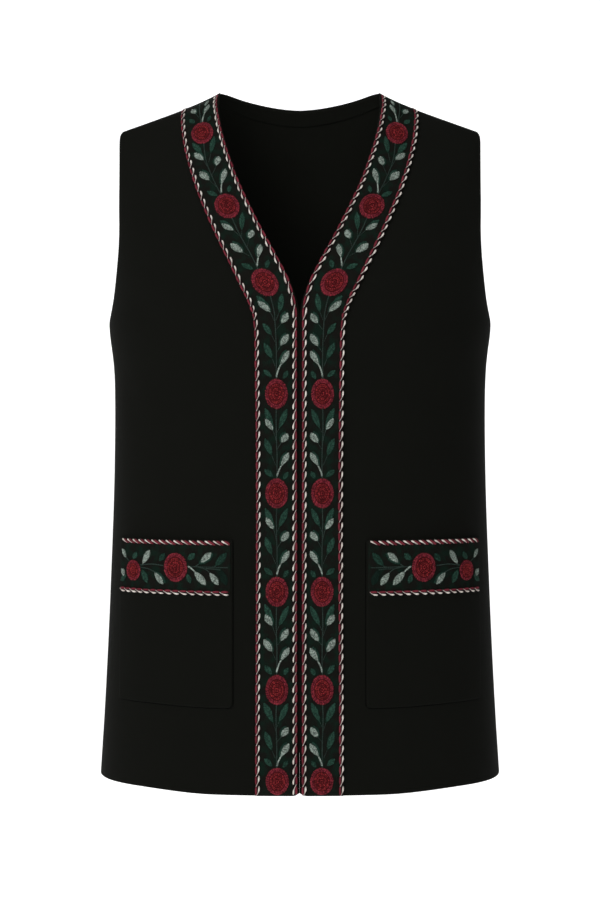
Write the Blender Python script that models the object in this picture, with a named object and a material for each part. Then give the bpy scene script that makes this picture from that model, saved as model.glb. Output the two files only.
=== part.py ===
"""A sleeveless folk vest of black cloth, hollow and filled out as it is worn.

Two fronts meet edge to edge under a V neck. A ribbon with raised roses runs down each front edge from
the shoulder seam to the hem between two twisted cords, and each patch pocket carries a wider piece of
the same ribbon below its mouth. The back is one panel with a narrow facing inside its neckline.

+Z is up, +X is the wearer's left, and the fronts face -Y. The origin lies between the two inner ends
of the shoulder seams, where the garment hangs on the wearer. All sizes are in metres.

Every piece is measured on one outer face. A place on it is (side, x, root): side is FRONT or BACK, x is
the distance from the middle plane, and root is the square root of the drop below the shoulder ridge,
so that the cloth turns over the ridge in a smooth round.
"""

import math
from collections import namedtuple

import bpy
import numpy as np

# ---------------------------------------------------------------- driving sizes
LENGTH = 0.6790  # shoulder ridge to hem
NECK_HALF = 0.0795  # middle to the inner end of a shoulder seam
SHOULDER_SLOPE = 0.345  # fall of the ridge per metre outwards
SHOULDER_CURL = 0.005  # extra fall close to the neck
CURL_REACH = 0.020
SLOPE_REACH = 0.210  # drop at which the ridge's slope has died out
UNDERARM = 0.234
ARMHOLE_STRAIGHT = 0.120  # drop above which an armhole edge keeps its share of the depth
ARMHOLE_SHARE = 0.50  # place of an armhole edge, as a share of the section's depth
TIP_SHARE = 0.075  # extra share that rounds the shoulder's outer corner
TIP_REACH = 0.004
FLARE = 0.0056  # how far the side stands out at the underarm
FLARE_ABOVE = 0.012
FLARE_BELOW = 0.022
FLARE_POWER = 16
BACK_NECK_DROP = 0.0316
BACK_NECK_POWER = 1.85
HEM_RISE = 0.0038  # how much higher the hem hangs at the side seams than in the middle
HEM_RISE_TOP = 0.4500  # drop from which the cloth starts to rise
HEM_RISE_POWER = 4
HEM_HALF = 0.1976

CLOTH = 0.0018  # thickness of the fronts and the back
SEAM = 0.0003  # gap between pieces that are sewn together
LAID = 0.0004  # gap under a piece that lies on another
RIBBON = 0.0010
POCKET_CLOTH = 0.0015
FACING = 0.0010

NECK_TURN = 0.0015  # how much of the fronts' cloth is turned in behind the ribbon along the V neck
NECK_TURN_TOP = 0.0300  # drop at which it is all turned in
NECK_TURN_FOOT = 0.1900  # drop at which it starts to come out again
NECK_TURN_END = 0.2250

EDGE_TO_BAND = 0.0220  # the edge that the fronts would have, unturned, to the line that the ribbon follows
BAND_SPARE = 0.0020  # ribbon beyond the middle of each cord
INNER_CORD = 0.0175  # the ribbon's line to the middle of the cord nearer the edge
CORD_HALF = 0.0025
CORD_HEIGHT = 0.0026
ROSE_HALF_WIDTH = 0.0113
ROSE_HALF_LENGTH = 0.0142
ROSE_HEIGHT = 0.0011
ROSE_ROWS = (-1.0, -0.67, 0.0, 0.67, 1.0)  # shares of a rose's half size at which its dome is cut
ROSES = (0.0570, 0.1502, 0.2374, 0.3437, 0.4377, 0.5280, 0.6199, 0.7050)  # runs from the shoulder seam

BandWidth = namedtuple("BandWidth", "run outer_cord")
BAND_WIDTHS = (  # the outer cord swings wide where the ribbon turns out of the V
    BandWidth(0.000, 0.0163),
    BandWidth(0.050, 0.0181),
    BandWidth(0.140, 0.0190),
    BandWidth(0.200, 0.0205),
    BandWidth(0.240, 0.0218),
    BandWidth(0.262, 0.0204),
    BandWidth(0.285, 0.0178),
    BandWidth(0.313, 0.0169),
    BandWidth(0.720, 0.0169),
)

POCKET_INNER, POCKET_OUTER = 0.0623, 0.1728  # from the middle plane
POCKET_MOUTH, POCKET_FOOT = 0.4410, 0.5985  # drops
POCKET_CORNER = 0.0050
OUTER_STRETCH = 2  # length of cloth for each length of x at a pocket's outer edge
POCKET_BAND = (0.0640, 0.1702)  # the two ends of a pocket's ribbon
POCKET_RIBBON = 0.0008
POCKET_CORD_START = 0.0653
POCKET_CORD_ENDS = (0.1680, 0.1692)
POCKET_CORDS = (0.4441, 0.4912)  # drops of the two cords
POCKET_ROSE_DROP = 0.4680  # level of the taller rose
POCKET_STEPS = (0.0718, 0.0799, 0.0880, 0.0961, 0.1330, 0.1415, 0.1669)  # ribbon columns between roses

PocketRose = namedtuple("PocketRose", "middle half_width half_height below")
POCKET_ROSES = (
    PocketRose(0.1154, 0.0111, 0.0138, -0.0004),
    PocketRose(0.1567, 0.0070, 0.0099, 0.0042),
)

FACING_WIDTH = 0.0175
FACING_TOP = 0.0010  # below the neckline's edge
FACING_ROWS = 4
BACK_ROWS_MEET = 0.0770  # drop below which the back's rows run level

UPPER_ROWS = 12
NEAR_UNDERARM = (0.2050, 0.2137, 0.2220, 0.2285, 0.2325)  # drops of the rows just above the underarm
LOWER_ROWS = 13
FRONT_COLUMNS = 13
BACK_COLUMNS = 11  # on each side of the middle
POCKET_COLUMNS = 13
POCKET_ROWS = 9
CORD_SIDES = 6
CORD_STEPS = 40  # rings of a front cord below the first rose
POCKET_CORD_STEPS = 12

FRONT, BACK = -1, 1
LEFT, RIGHT = 1, -1  # the wearer's

Section = namedtuple("Section", "drop half_width front_depth back_depth squareness")
SECTIONS = (
    Section(0.000, 0.1900, 0.000, 0.000, 2.8),
    Section(0.010, 0.1890, 0.018, 0.020, 2.8),
    Section(0.030, 0.1882, 0.036, 0.041, 2.8),
    Section(0.060, 0.1876, 0.056, 0.064, 2.8),
    Section(0.100, 0.1872, 0.077, 0.084, 2.8),
    Section(0.150, 0.1866, 0.098, 0.098, 2.7),
    Section(0.200, 0.1856, 0.112, 0.104, 2.6),
    Section(0.240, 0.1845, 0.117, 0.104, 2.5),
    Section(0.290, 0.1833, 0.119, 0.101, 2.4),
    Section(0.330, 0.1833, 0.119, 0.097, 2.4),
    Section(0.400, 0.1845, 0.119, 0.094, 2.4),
    Section(0.470, 0.1870, 0.119, 0.097, 2.4),
    Section(0.550, 0.1903, 0.120, 0.104, 2.4),
    Section(0.620, 0.1939, 0.122, 0.110, 2.4),
    Section(0.6790, 0.1976, 0.125, 0.114, 2.4),
)

EdgePoint = namedtuple("EdgePoint", "drop half_gap")
FRONT_EDGE = (  # from the shoulder seam down the V neck to where the fronts meet
    EdgePoint(0.0000, 0.0795),
    EdgePoint(0.0228, 0.0779),
    EdgePoint(0.0531, 0.0722),
    EdgePoint(0.0817, 0.0641),
    EdgePoint(0.1076, 0.0551),
    EdgePoint(0.1317, 0.0439),
    EdgePoint(0.1542, 0.0319),
    EdgePoint(0.1760, 0.0192),
    EdgePoint(0.1978, 0.0077),
    EdgePoint(0.2090, 0.0040),
    EdgePoint(0.2165, 0.0021),
    EdgePoint(0.2260, 0.0008),
    EdgePoint(0.2360, 0.0005),
    EdgePoint(0.2700, 0.0005),
    EdgePoint(0.6790, 0.0005),
)

# Soft folds that the cloth hangs in: place is the share of the way from the middle to the side seam.
Fold = namedtuple("Fold", "side place width depth top")
FOLDS = (
    Fold(BACK, -0.78, 0.10, 0.0026, 0.34),
    Fold(BACK, -0.42, 0.12, 0.0034, 0.40),
    Fold(BACK, -0.05, 0.09, 0.0022, 0.46),
    Fold(BACK, 0.33, 0.13, 0.0030, 0.36),
    Fold(BACK, 0.71, 0.10, 0.0028, 0.42),
)

ROOT_TOP = 0.0010  # root at which the panels start, half a seam from the ridge
TINY = 1e-4
UNDERARM_ROOT = math.sqrt(UNDERARM) - 1e-6


# ---------------------------------------------------------------- the outer face
def smooth(at, stations, values):
    """A smooth curve through a table, read at one or many places."""
    stations, values = np.asarray(stations, float), np.asarray(values, float)
    slopes = np.gradient(values, stations)
    at = np.clip(at, stations[0], stations[-1])
    i = np.clip(np.searchsorted(stations, at, side="right") - 1, 0, len(stations) - 2)
    gap = stations[i + 1] - stations[i]
    t = (at - stations[i]) / gap
    blend = t * t * (3 - 2 * t)
    start = t * (1 - t) ** 2
    end = t * t * (1 - t)
    bend = start * slopes[i] - end * slopes[i + 1]
    return (1 - blend) * values[i] + blend * values[i + 1] + gap * bend


SECTION_ROOTS = [math.sqrt(s.drop) for s in SECTIONS]


def section(root, side):
    """Half width, depth and squareness of the section at this root."""
    depth = "front_depth" if side == FRONT else "back_depth"
    return [
        smooth(root, SECTION_ROOTS, [getattr(s, name) for s in SECTIONS])
        for name in ("half_width", depth, "squareness")
    ]


def ease(share):
    """A smooth step from 0 to 1."""
    t = np.clip(share, 0, 1)
    return t * t * (3 - 2 * t)


def ridge(x):
    """Height of the shoulder ridge at x, above the inner end of the shoulder seam."""
    out = np.maximum(np.abs(x) - NECK_HALF, 0)
    inwards = np.maximum(NECK_HALF - np.abs(x), 0)
    fall = SHOULDER_SLOPE * out + SHOULDER_CURL * (1 - np.exp(-out / CURL_REACH))
    slope = SHOULDER_SLOPE + SHOULDER_CURL / CURL_REACH
    return slope * inwards * (1 - inwards / (2 * NECK_HALF)) - fall


def height(x, root):
    """Height of the outer face: the drop below the ridge, whose slope dies out on the way down."""
    drop = root * root
    slope_left = 1 - ease(drop / SLOPE_REACH)
    low = ease((drop - HEM_RISE_TOP) / (LENGTH - HEM_RISE_TOP))
    return ridge(x) * slope_left - drop + HEM_RISE * low * (np.abs(x) / HEM_HALF) ** HEM_RISE_POWER


def fold_depth(share, root, side):
    """How far the folds stand out at a share of the way to the side seam."""
    out = np.zeros(np.broadcast(share, root).shape)
    for fold in FOLDS:
        if fold.side == side:
            t = np.clip((root * root - fold.top) / (LENGTH - fold.top), 0, 1)
            out = out + fold.depth * t * t * np.exp(-(((share - fold.place) / fold.width) ** 2))
    return out


def face_point(side, x, root):
    """Points of the outer face, as an array with a last axis of 3."""
    x, root = np.broadcast_arrays(np.asarray(x, float), np.asarray(root, float))
    half, depth, squareness = section(root, side)
    share = np.clip(np.abs(x) / half, 0, 1)
    y = side * depth * (1 - share**squareness) ** (1 / squareness)
    y = y + side * fold_depth(x / half, root, side) * (1 - share**FLARE_POWER)
    return np.stack([x, y, height(x, root)], -1)


def flare(root):
    """How far the side stands out at this root."""
    away = root * root - UNDERARM
    reach = np.where(away < 0, FLARE_ABOVE, FLARE_BELOW)
    return FLARE / np.cosh(away / reach)


def ring_point(side, angle, root):
    """The same face by the angle round a section: 0 in the middle, a right angle at the side seam."""
    half, depth, squareness = section(root, side)
    sine, cosine = np.abs(np.sin(angle)), np.clip(np.cos(angle), 0, 1)
    share = sine ** (2 / squareness)
    x = np.sign(angle) * half * share
    y = side * depth * cosine ** (2 / squareness)
    y = y + side * fold_depth(x / half, root, side) * (1 - share**FLARE_POWER)
    z = height(x, root)
    return np.stack([x + np.sign(angle) * flare(root) * share**FLARE_POWER, y, z], -1)


def angle_at(side, x, root):
    """The angle round the section at which the face is x from the middle plane."""
    half, _, squareness = section(root, side)
    return np.arcsin(np.clip(np.abs(x) / half, 0, 1) ** (squareness / 2))


def unit(vectors):
    """The vectors at length one."""
    return vectors / np.maximum(np.linalg.norm(vectors, axis=-1, keepdims=True), 1e-12)


def slopes(side, x, root):
    """The face's two tangents, along x and along root."""
    low = np.maximum(root - TINY, 0)
    along_x = (face_point(side, x + TINY, root) - face_point(side, x - TINY, root)) / (2 * TINY)
    step = (root + TINY - low)[..., None]
    along_root = (face_point(side, x, root + TINY) - face_point(side, x, low)) / step
    return along_x, along_root


def lifted(side, x, root, lift):
    """Points that stand off the face by lift, which is negative on its inside."""
    x, root = np.broadcast_arrays(np.asarray(x, float), np.asarray(root, float))
    along_x, along_root = slopes(side, x, root)
    normal = unit(np.cross(along_x, along_root)) * side
    return face_point(side, x, root) + normal * np.asarray(lift)[..., None]


def walk(side, x, root, direction, distance, steps=6):
    """Goes a distance over the face from (x, root), keeping the direction, and returns where it ends."""
    for _ in range(steps):
        along_x, along_root = slopes(side, x, root)
        xx = np.sum(along_x * along_x, -1)
        xr = np.sum(along_x * along_root, -1)
        rr = np.sum(along_root * along_root, -1)
        dx, dr = np.sum(direction * along_x, -1), np.sum(direction * along_root, -1)
        det = xx * rr - xr * xr
        step = distance / steps
        move_x, move_root = (rr * dx - xr * dr) / det, (xx * dr - xr * dx) / det
        size = np.linalg.norm(along_x * move_x[..., None] + along_root * move_root[..., None], axis=-1)
        x, root = x + step * move_x / size, np.maximum(root + step * move_root / size, ROOT_TOP)
    return x, root


# ---------------------------------------------------------------- outlines of the panels
def front_edge(root):
    """Half the gap between the fronts' outlines: the V neck, then the edges that meet."""
    return smooth(root, [math.sqrt(p.drop) for p in FRONT_EDGE], [p.half_gap for p in FRONT_EDGE])


def cloth_edge(root):
    """Half the gap between the fronts' cloth, which is turned in behind the ribbon along the V neck."""
    drop = root * root
    coming_out = ease((drop - NECK_TURN_FOOT) / (NECK_TURN_END - NECK_TURN_FOOT))
    return front_edge(root) + NECK_TURN * ease(drop / NECK_TURN_TOP) * (1 - coming_out)


def armhole_angle(root):
    """Angle round the section of the armhole's edge, or of the side seam below the underarm."""
    drop = root * root
    t = np.clip((drop - ARMHOLE_STRAIGHT) / (UNDERARM - ARMHOLE_STRAIGHT), 0, 1)
    share = ARMHOLE_SHARE * np.sqrt(1 - t * t) + TIP_SHARE * np.exp(-drop / TIP_REACH)
    squareness = section(root, FRONT)[2]
    return np.where(drop < UNDERARM, np.arccos(share ** (squareness / 2)), math.pi / 2)


def spread_row(side, root, start, end, shares, trim_end=0.0):
    """Places on a section between two angles, at shares of the length between them."""
    angles = np.linspace(start, end, 240)
    points = ring_point(side, angles, np.full_like(angles, root))
    run = np.concatenate([[0], np.cumsum(np.linalg.norm(np.diff(points, axis=0), axis=1))])
    return np.interp(np.asarray(shares) * (run[-1] - trim_end), run, angles)


def panel_grid(side, angles, roots):
    """Outer and inner points of a panel from a grid of angles and roots."""
    outer = ring_point(side, angles, roots)
    nudge = 1e-3
    wide = np.clip(np.abs(angles), 0, math.pi / 2 - nudge) * np.sign(angles)
    low = np.maximum(roots - TINY, 0)
    round_it = ring_point(side, wide + nudge, roots) - ring_point(side, wide - nudge, roots)
    down = ring_point(side, wide, roots + TINY) - ring_point(side, wide, low)
    normal = unit(np.cross(round_it, down)) * side
    return outer, outer - CLOTH * normal


# ---------------------------------------------------------------- meshes
def add_mesh(name, points, faces, material):
    """A named object from points and faces."""
    mesh = bpy.data.meshes.new(name)
    mesh.from_pydata([tuple(p) for p in points], [], faces)
    mesh.update()
    mesh.shade_smooth()
    mesh.set_sharp_from_angle(angle=math.radians(50))
    mesh.materials.append(material)
    obj = bpy.data.objects.new(name, mesh)
    bpy.context.scene.collection.objects.link(obj)
    return obj


def add_wall(name, outer, inner, material):
    """A closed wall between two grids of points, whichever way round they run."""
    rows, columns = outer.shape[:2]
    count = rows * columns
    faces = []
    for r in range(rows - 1):
        for c in range(columns - 1):
            a, b = r * columns + c, r * columns + c + 1
            d, e = a + columns, b + columns
            faces.append((a, b, e, d))
            faces.append((count + a, count + d, count + e, count + b))
    rim = (
        [c for c in range(columns)]
        + [r * columns + columns - 1 for r in range(1, rows)]
        + [(rows - 1) * columns + c for c in range(columns - 2, -1, -1)]
        + [r * columns for r in range(rows - 2, 0, -1)]
    )
    for i, a in enumerate(rim):
        b = rim[(i + 1) % len(rim)]
        faces.append((b, a, count + a, count + b))
    across, down = outer[0, 1] - outer[0, 0], outer[1, 0] - outer[0, 0]
    if np.dot(np.cross(across, down), outer[0, 0] - inner[0, 0]) < 0:
        faces = [(f[0], *reversed(f[1:])) for f in faces]
    points = np.concatenate([outer.reshape(-1, 3), inner.reshape(-1, 3)])
    return add_mesh(name, points, faces, material)


def add_tube(name, rings, material):
    """A closed tube through rings of points, with flat ends."""
    rows, sides = rings.shape[:2]
    faces = []
    for r in range(rows - 1):
        for s in range(sides):
            a, b = r * sides + s, r * sides + (s + 1) % sides
            faces.append((a, b, b + sides, a + sides))
    faces.append(tuple(range(sides - 1, -1, -1)))
    faces.append(tuple((rows - 1) * sides + s for s in range(sides)))
    first = rings[0]
    turn = np.cross(first[1] - first[0], first[2] - first[1])
    if np.dot(turn, rings[1].mean(0) - first.mean(0)) < 0:
        faces = [tuple(reversed(f)) for f in faces]
    return add_mesh(name, rings.reshape(-1, 3), faces, material)


def cloth_material(name, color, roughness):
    material = bpy.data.materials.new(name)
    material.use_nodes = True
    shader = material.node_tree.nodes["Principled BSDF"]
    shader.inputs["Base Color"].default_value = (*color, 1)
    shader.inputs["Roughness"].default_value = roughness
    shader.inputs["Metallic"].default_value = 0.0
    material.diffuse_color = (*color, 1)
    return material


# ---------------------------------------------------------------- the panels
def panel_roots():
    """Roots of the rows of a panel: close together over the shoulder and at the underarm."""
    upper = np.linspace(ROOT_TOP, math.sqrt(NEAR_UNDERARM[0]), UPPER_ROWS)
    lower = np.sqrt(np.linspace(UNDERARM, LENGTH, LOWER_ROWS))
    return np.concatenate([upper, np.sqrt(NEAR_UNDERARM[1:]), lower])


def make_front(name, hand, material):
    """One front, from its edge at the V neck and the opening to the armhole and the side seam."""
    shares = np.linspace(0, 1, FRONT_COLUMNS)
    rows = []
    for root in panel_roots():
        start = float(angle_at(FRONT, cloth_edge(root), root))
        end = float(armhole_angle(root))
        trim = SEAM / 2 if root > UNDERARM_ROOT else 0.0
        rows.append(spread_row(FRONT, root, start, end, shares, trim))
    angles = np.array(rows)
    roots = np.repeat(panel_roots()[:, None], FRONT_COLUMNS, axis=1)
    outer, inner = panel_grid(FRONT, angles, roots)
    mirror = np.array([hand, 1, 1])
    return add_wall(name, outer * mirror, inner * mirror, material)


def neck_root(share):
    """Root at which the back's column at this share of the half girth starts: seam or neckline."""
    low, high = ROOT_TOP, math.sqrt(BACK_NECK_DROP) + 0.01
    for _ in range(40):
        root = (low + high) / 2
        angle = spread_row(BACK, root, 0.0, float(armhole_angle(root)), [share])[0]
        x = abs(ring_point(BACK, np.array(angle), np.array(root))[0])
        neckline = BACK_NECK_DROP * (1 - min(x / NECK_HALF, 1) ** BACK_NECK_POWER)
        if root * root < neckline:
            low = root
        else:
            high = root
    return max(high, ROOT_TOP)


def back_shares():
    """Shares of the back's half girth, with one column on the corner between neckline and seam."""
    tip = float(ring_point(BACK, armhole_angle(ROOT_TOP), np.array(ROOT_TOP))[0])
    corner = NECK_HALF / tip
    inside = np.linspace(0, corner, BACK_COLUMNS // 2 + 1)
    outside = np.linspace(corner, 1, BACK_COLUMNS - BACK_COLUMNS // 2 + 1)
    return np.concatenate([inside, outside[1:]])


def back_angle(share, root):
    """Angle round the back's section at a share of the way from the middle to its edge."""
    trim = SEAM / 2 if root > UNDERARM_ROOT else 0.0
    return spread_row(BACK, root, 0.0, float(armhole_angle(root)), [share], trim)[0]


def back_column(share, level, above):
    """Roots and angles of one column: even rows over the facing, then rows that turn level."""
    top = neck_root(share)
    roots = np.linspace(top, level[0], 60)
    angles = np.array([back_angle(share, root) for root in roots])
    line = ring_point(BACK, angles, roots)
    run = np.concatenate([[0], np.cumsum(np.linalg.norm(np.diff(line, axis=0), axis=1))])
    near = np.interp(np.linspace(0, FACING_WIDTH, FACING_ROWS), run, roots)
    rest = np.linspace(near[-1], level[0], above - FACING_ROWS + 2)[1:-1]
    roots = np.concatenate([near, rest, level])
    return roots, [back_angle(share, root) for root in roots]


def back_places():
    """Angles and roots of the back's grid, from the wearer's right side to the left."""
    common = panel_roots()
    level = common[common**2 > BACK_ROWS_MEET]
    columns = [back_column(share, level, len(common) - len(level)) for share in back_shares()]
    roots = np.array([c[0] for c in columns]).T
    angles = np.array([c[1] for c in columns]).T
    return np.concatenate([-angles[:, :0:-1], angles], 1), np.concatenate([roots[:, :0:-1], roots], 1)


def make_back(name, material):
    """The back, and with it the narrow strip of facing inside its neckline."""
    angles, roots = back_places()
    outer, inner = panel_grid(BACK, angles, roots)
    add_wall(name, outer, inner, material)
    middle, reach = len(back_shares()) - 1, BACK_COLUMNS // 2
    wall = inner[:FACING_ROWS, middle - reach:middle + reach + 1]
    inwards = unit(inner - outer)[:FACING_ROWS, middle - reach:middle + reach + 1]
    down = unit(wall[1] - wall[0])
    wall[0] += down * FACING_TOP
    add_wall("neck_facing", wall + inwards * LAID, wall + inwards * (LAID + FACING), material)


# ---------------------------------------------------------------- ribbon and cords down the fronts
def band_line():
    """The middle of the front ribbon: its x, root and run along it, read off close points."""
    root = np.linspace(ROOT_TOP, math.sqrt(LENGTH) - 1e-6, 700)
    x = front_edge(root)
    line = face_point(FRONT, x, root)
    forward = unit(np.gradient(line, axis=0))
    along_x, along_root = slopes(FRONT, x, root)
    normal = unit(np.cross(along_x, along_root))
    across = unit(np.cross(forward, normal))
    across *= np.sign(across[:, :1])
    mid_x, mid_root = walk(FRONT, x, root, across, np.full_like(x, EDGE_TO_BAND))
    keep = np.concatenate([[True], np.diff(mid_root) > 1e-7])
    mid_x, mid_root = mid_x[keep], mid_root[keep]
    line = face_point(FRONT, mid_x, mid_root)
    run = np.concatenate([[0], np.cumsum(np.linalg.norm(np.diff(line, axis=0), axis=1))])
    return mid_x, mid_root, run


BAND_X, BAND_ROOT, BAND_RUN = band_line()
BAND_REACH = 0.004  # distance over which the ribbon's direction is read


def line_place(runs):
    """Place on the face at these runs along the ribbon's line."""
    return np.interp(runs, BAND_RUN, BAND_X), np.interp(runs, BAND_RUN, BAND_ROOT)


def band_places(runs, offset):
    """Places on the face at these runs along the ribbon, offset from its line towards the side."""
    x, root = line_place(runs)
    ahead = face_point(FRONT, *line_place(np.minimum(runs + BAND_REACH, BAND_RUN[-1])))
    behind = face_point(FRONT, *line_place(np.maximum(runs - BAND_REACH, 0)))
    along_x, along_root = slopes(FRONT, x, root)
    across = unit(np.cross(unit(ahead - behind), unit(np.cross(along_x, along_root))))
    across *= np.sign(across[..., :1])
    return walk(FRONT, x, root, across, offset)


def outer_cord(runs):
    """Offset of the outer cord at these runs along the ribbon."""
    return smooth(runs, [w.run for w in BAND_WIDTHS], [w.outer_cord for w in BAND_WIDTHS])


def dome(along, across, half_length, half_width):
    """Height of a rose over the ribbon."""
    inside = 1 - (along / half_length) ** 2 - (across / half_width) ** 2
    return ROSE_HEIGHT * np.sqrt(np.clip(inside, 0, 1))


def shoulder_runs():
    """Close rows where the ribbon bends over the shoulder, down to the first rose."""
    return list(np.linspace(0, ROSES[0] - ROSE_HALF_LENGTH, 8)[:-1])


def band_runs():
    """Rows of the ribbon: over the shoulder, across each rose and between the roses."""
    runs = shoulder_runs() + [BAND_RUN[-1]]
    runs += [rose + share * ROSE_HALF_LENGTH for rose in ROSES for share in ROSE_ROWS]
    for above, below in zip(ROSES, ROSES[1:]):
        runs += list(np.linspace(above + ROSE_HALF_LENGTH, below - ROSE_HALF_LENGTH, 6)[1:-1])
    return np.array(sorted(runs))


def make_band(name, hand, material):
    """The ribbon down one front, with its roses raised on the outside."""
    runs = band_runs()
    low, high = -INNER_CORD - BAND_SPARE, outer_cord(runs) + BAND_SPARE
    middle = (low + high) / 2
    offsets = [np.full_like(runs, low)] + [middle + share * ROSE_HALF_WIDTH for share in ROSE_ROWS] + [high]
    places = [band_places(runs, offset) for offset in offsets]
    x, root = np.array([p[0] for p in places]).T, np.array([p[1] for p in places]).T
    across = (np.array(offsets) - middle).T
    raised = np.zeros_like(across)
    for rose in ROSES:
        raised += dome(runs[:, None] - rose, across, ROSE_HALF_LENGTH, ROSE_HALF_WIDTH)
    outer = lifted(FRONT, x, root, LAID + RIBBON + raised)
    inner = lifted(FRONT, x, root, np.full_like(x, LAID))
    mirror = np.array([hand, 1, 1])
    return add_wall(name, outer * mirror, inner * mirror, material)


def cord_rings(x, root, across, base):
    """Rings of a flattened cord that lies on the face at these places, its underside at base."""
    low = lifted(FRONT, x, root, np.full_like(x, base))
    high = lifted(FRONT, x, root, np.full_like(x, base + CORD_HEIGHT))
    middle, up = (low + high) / 2, (high - low) / 2
    turns = [2 * math.pi * side / CORD_SIDES for side in range(CORD_SIDES)]
    flat = math.sin(math.pi / 3)
    return np.stack([middle + across * CORD_HALF * math.cos(t) + up * math.sin(t) / flat for t in turns], 1)


def across_of(x, root):
    """Unit vectors on the face, square to a line of places."""
    line = face_point(FRONT, x, root)
    forward = unit(np.gradient(line, axis=0))
    along_x, along_root = slopes(FRONT, x, root)
    return unit(np.cross(forward, unit(np.cross(along_x, along_root))))


def make_cord(name, hand, outer, material):
    """One of the two cords along a front ribbon."""
    lower = np.linspace(ROSES[0] - ROSE_HALF_LENGTH, BAND_RUN[-1], CORD_STEPS)
    runs = np.concatenate([shoulder_runs(), lower])
    x, root = band_places(runs, outer_cord(runs) if outer else np.full_like(runs, -INNER_CORD))
    rings = cord_rings(x, root, across_of(x, root), LAID + RIBBON + SEAM)
    return add_tube(name, rings * np.array([hand, 1, 1]), material)


# ---------------------------------------------------------------- the pockets
def pocket_columns(inner, outer, count):
    """Distances from the middle plane, from inner to outer, evenly spaced along the cloth of a pocket."""
    x = np.linspace(inner, outer, 200)
    line = face_point(FRONT, x, np.full_like(x, math.sqrt(POCKET_ROSE_DROP)))
    run = np.concatenate([[0], np.cumsum(np.linalg.norm(np.diff(line, axis=0), axis=1))])
    return np.interp(np.linspace(0, run[-1], count), run, x)


def make_pocket(name, hand, material):
    """A patch pocket: a flat piece sewn on at its sides and foot, its two lower corners cut round."""
    columns = pocket_columns(POCKET_INNER, POCKET_OUTER, POCKET_COLUMNS)
    extra = (POCKET_INNER + POCKET_CORNER / 3, POCKET_OUTER - POCKET_CORNER / 6)
    columns = np.sort(np.concatenate([columns, extra]))
    drops = np.linspace(POCKET_MOUTH, POCKET_FOOT, POCKET_ROWS)
    from_outer = (POCKET_OUTER - columns) * OUTER_STRETCH
    near = np.clip(1 - np.minimum(columns - POCKET_INNER, from_outer) / POCKET_CORNER, 0, 1)
    cut = POCKET_CORNER * (1 - np.sqrt(1 - near**2))
    x = np.repeat(columns[None, :], len(drops), axis=0)
    share = (drops[:, None] - POCKET_MOUTH) / (POCKET_FOOT - POCKET_MOUTH)
    root = np.sqrt(drops[:, None] - cut[None, :] * share**4)
    outer = lifted(FRONT, x, root, np.full_like(x, LAID + POCKET_CLOTH))
    inner = lifted(FRONT, x, root, np.full_like(x, LAID))
    mirror = np.array([hand, 1, 1])
    return add_wall(name, outer * mirror, inner * mirror, material)


def make_pocket_band(name, hand, material):
    """The ribbon below a pocket's mouth, with its roses raised on the outside."""
    marks = [*POCKET_BAND, *POCKET_STEPS]
    for rose in POCKET_ROSES:
        marks += [rose.middle + share * rose.half_width for share in ROSE_ROWS]
    columns = np.array(sorted(marks))
    drops = [POCKET_CORDS[0] - BAND_SPARE, POCKET_CORDS[1] + BAND_SPARE]
    tall = POCKET_ROSES[0]
    drops += [POCKET_ROSE_DROP + tall.below + share * tall.half_height for share in ROSE_ROWS]
    drops = np.array(sorted(drops))
    x, drop = np.meshgrid(columns, drops)
    raised = np.zeros_like(x)
    for rose in POCKET_ROSES:
        down = drop - POCKET_ROSE_DROP - rose.below
        raised += dome(down, x - rose.middle, rose.half_height, rose.half_width)
    base = LAID + POCKET_CLOTH + SEAM
    outer = lifted(FRONT, x, np.sqrt(drop), base + POCKET_RIBBON + raised)
    inner = lifted(FRONT, x, np.sqrt(drop), np.full_like(x, base))
    mirror = np.array([hand, 1, 1])
    return add_wall(name, outer * mirror, inner * mirror, material)


def make_pocket_cord(name, hand, drop, end, material):
    """One of the two cords along a pocket's ribbon."""
    x = pocket_columns(POCKET_CORD_START, end, POCKET_CORD_STEPS)
    root = np.full_like(x, math.sqrt(drop))
    base = LAID + POCKET_CLOTH + SEAM + POCKET_RIBBON + SEAM
    rings = cord_rings(x, root, across_of(x, root), base)
    return add_tube(name, rings * np.array([hand, 1, 1]), material)


# ---------------------------------------------------------------- the whole garment
def make_vest():
    """Builds every piece of the vest."""
    cloth = cloth_material("black_cloth", (0.008, 0.008, 0.007), 0.85)
    ribbon = cloth_material("embroidered_ribbon", (0.020, 0.030, 0.024), 0.80)
    twist = cloth_material("twisted_cord", (0.420, 0.120, 0.140), 0.65)
    make_back("back", cloth)
    for hand, word in ((LEFT, "left"), (RIGHT, "right")):
        make_front(f"front_{word}", hand, cloth)
        make_band(f"ribbon_{word}", hand, ribbon)
        make_cord(f"cord_{word}_inner", hand, False, twist)
        make_cord(f"cord_{word}_outer", hand, True, twist)
        make_pocket(f"pocket_{word}", hand, cloth)
        make_pocket_band(f"pocket_ribbon_{word}", hand, ribbon)
        for place, drop, end in zip(("upper", "lower"), POCKET_CORDS, POCKET_CORD_ENDS):
            make_pocket_cord(f"pocket_cord_{word}_{place}", hand, drop, end, twist)


for old in list(bpy.data.objects):
    bpy.data.objects.remove(old, do_unlink=True)
make_vest()
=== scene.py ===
"""Cloth, embroidery, cords and light for a hollow black folk vest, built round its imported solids.

A place on a worn panel is (side, x, root): the side is front or back, x is the distance from the middle
plane, and root is the square root of the drop below the shoulder ridge. A place on a ribbon or a pocket
is (along, across) on the flat cloth, and a Patch carries it onto the worn form. All sizes are in metres.
"""

import logging
import math
from dataclasses import dataclass
from enum import Enum
from typing import Any, Sequence, Union

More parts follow.
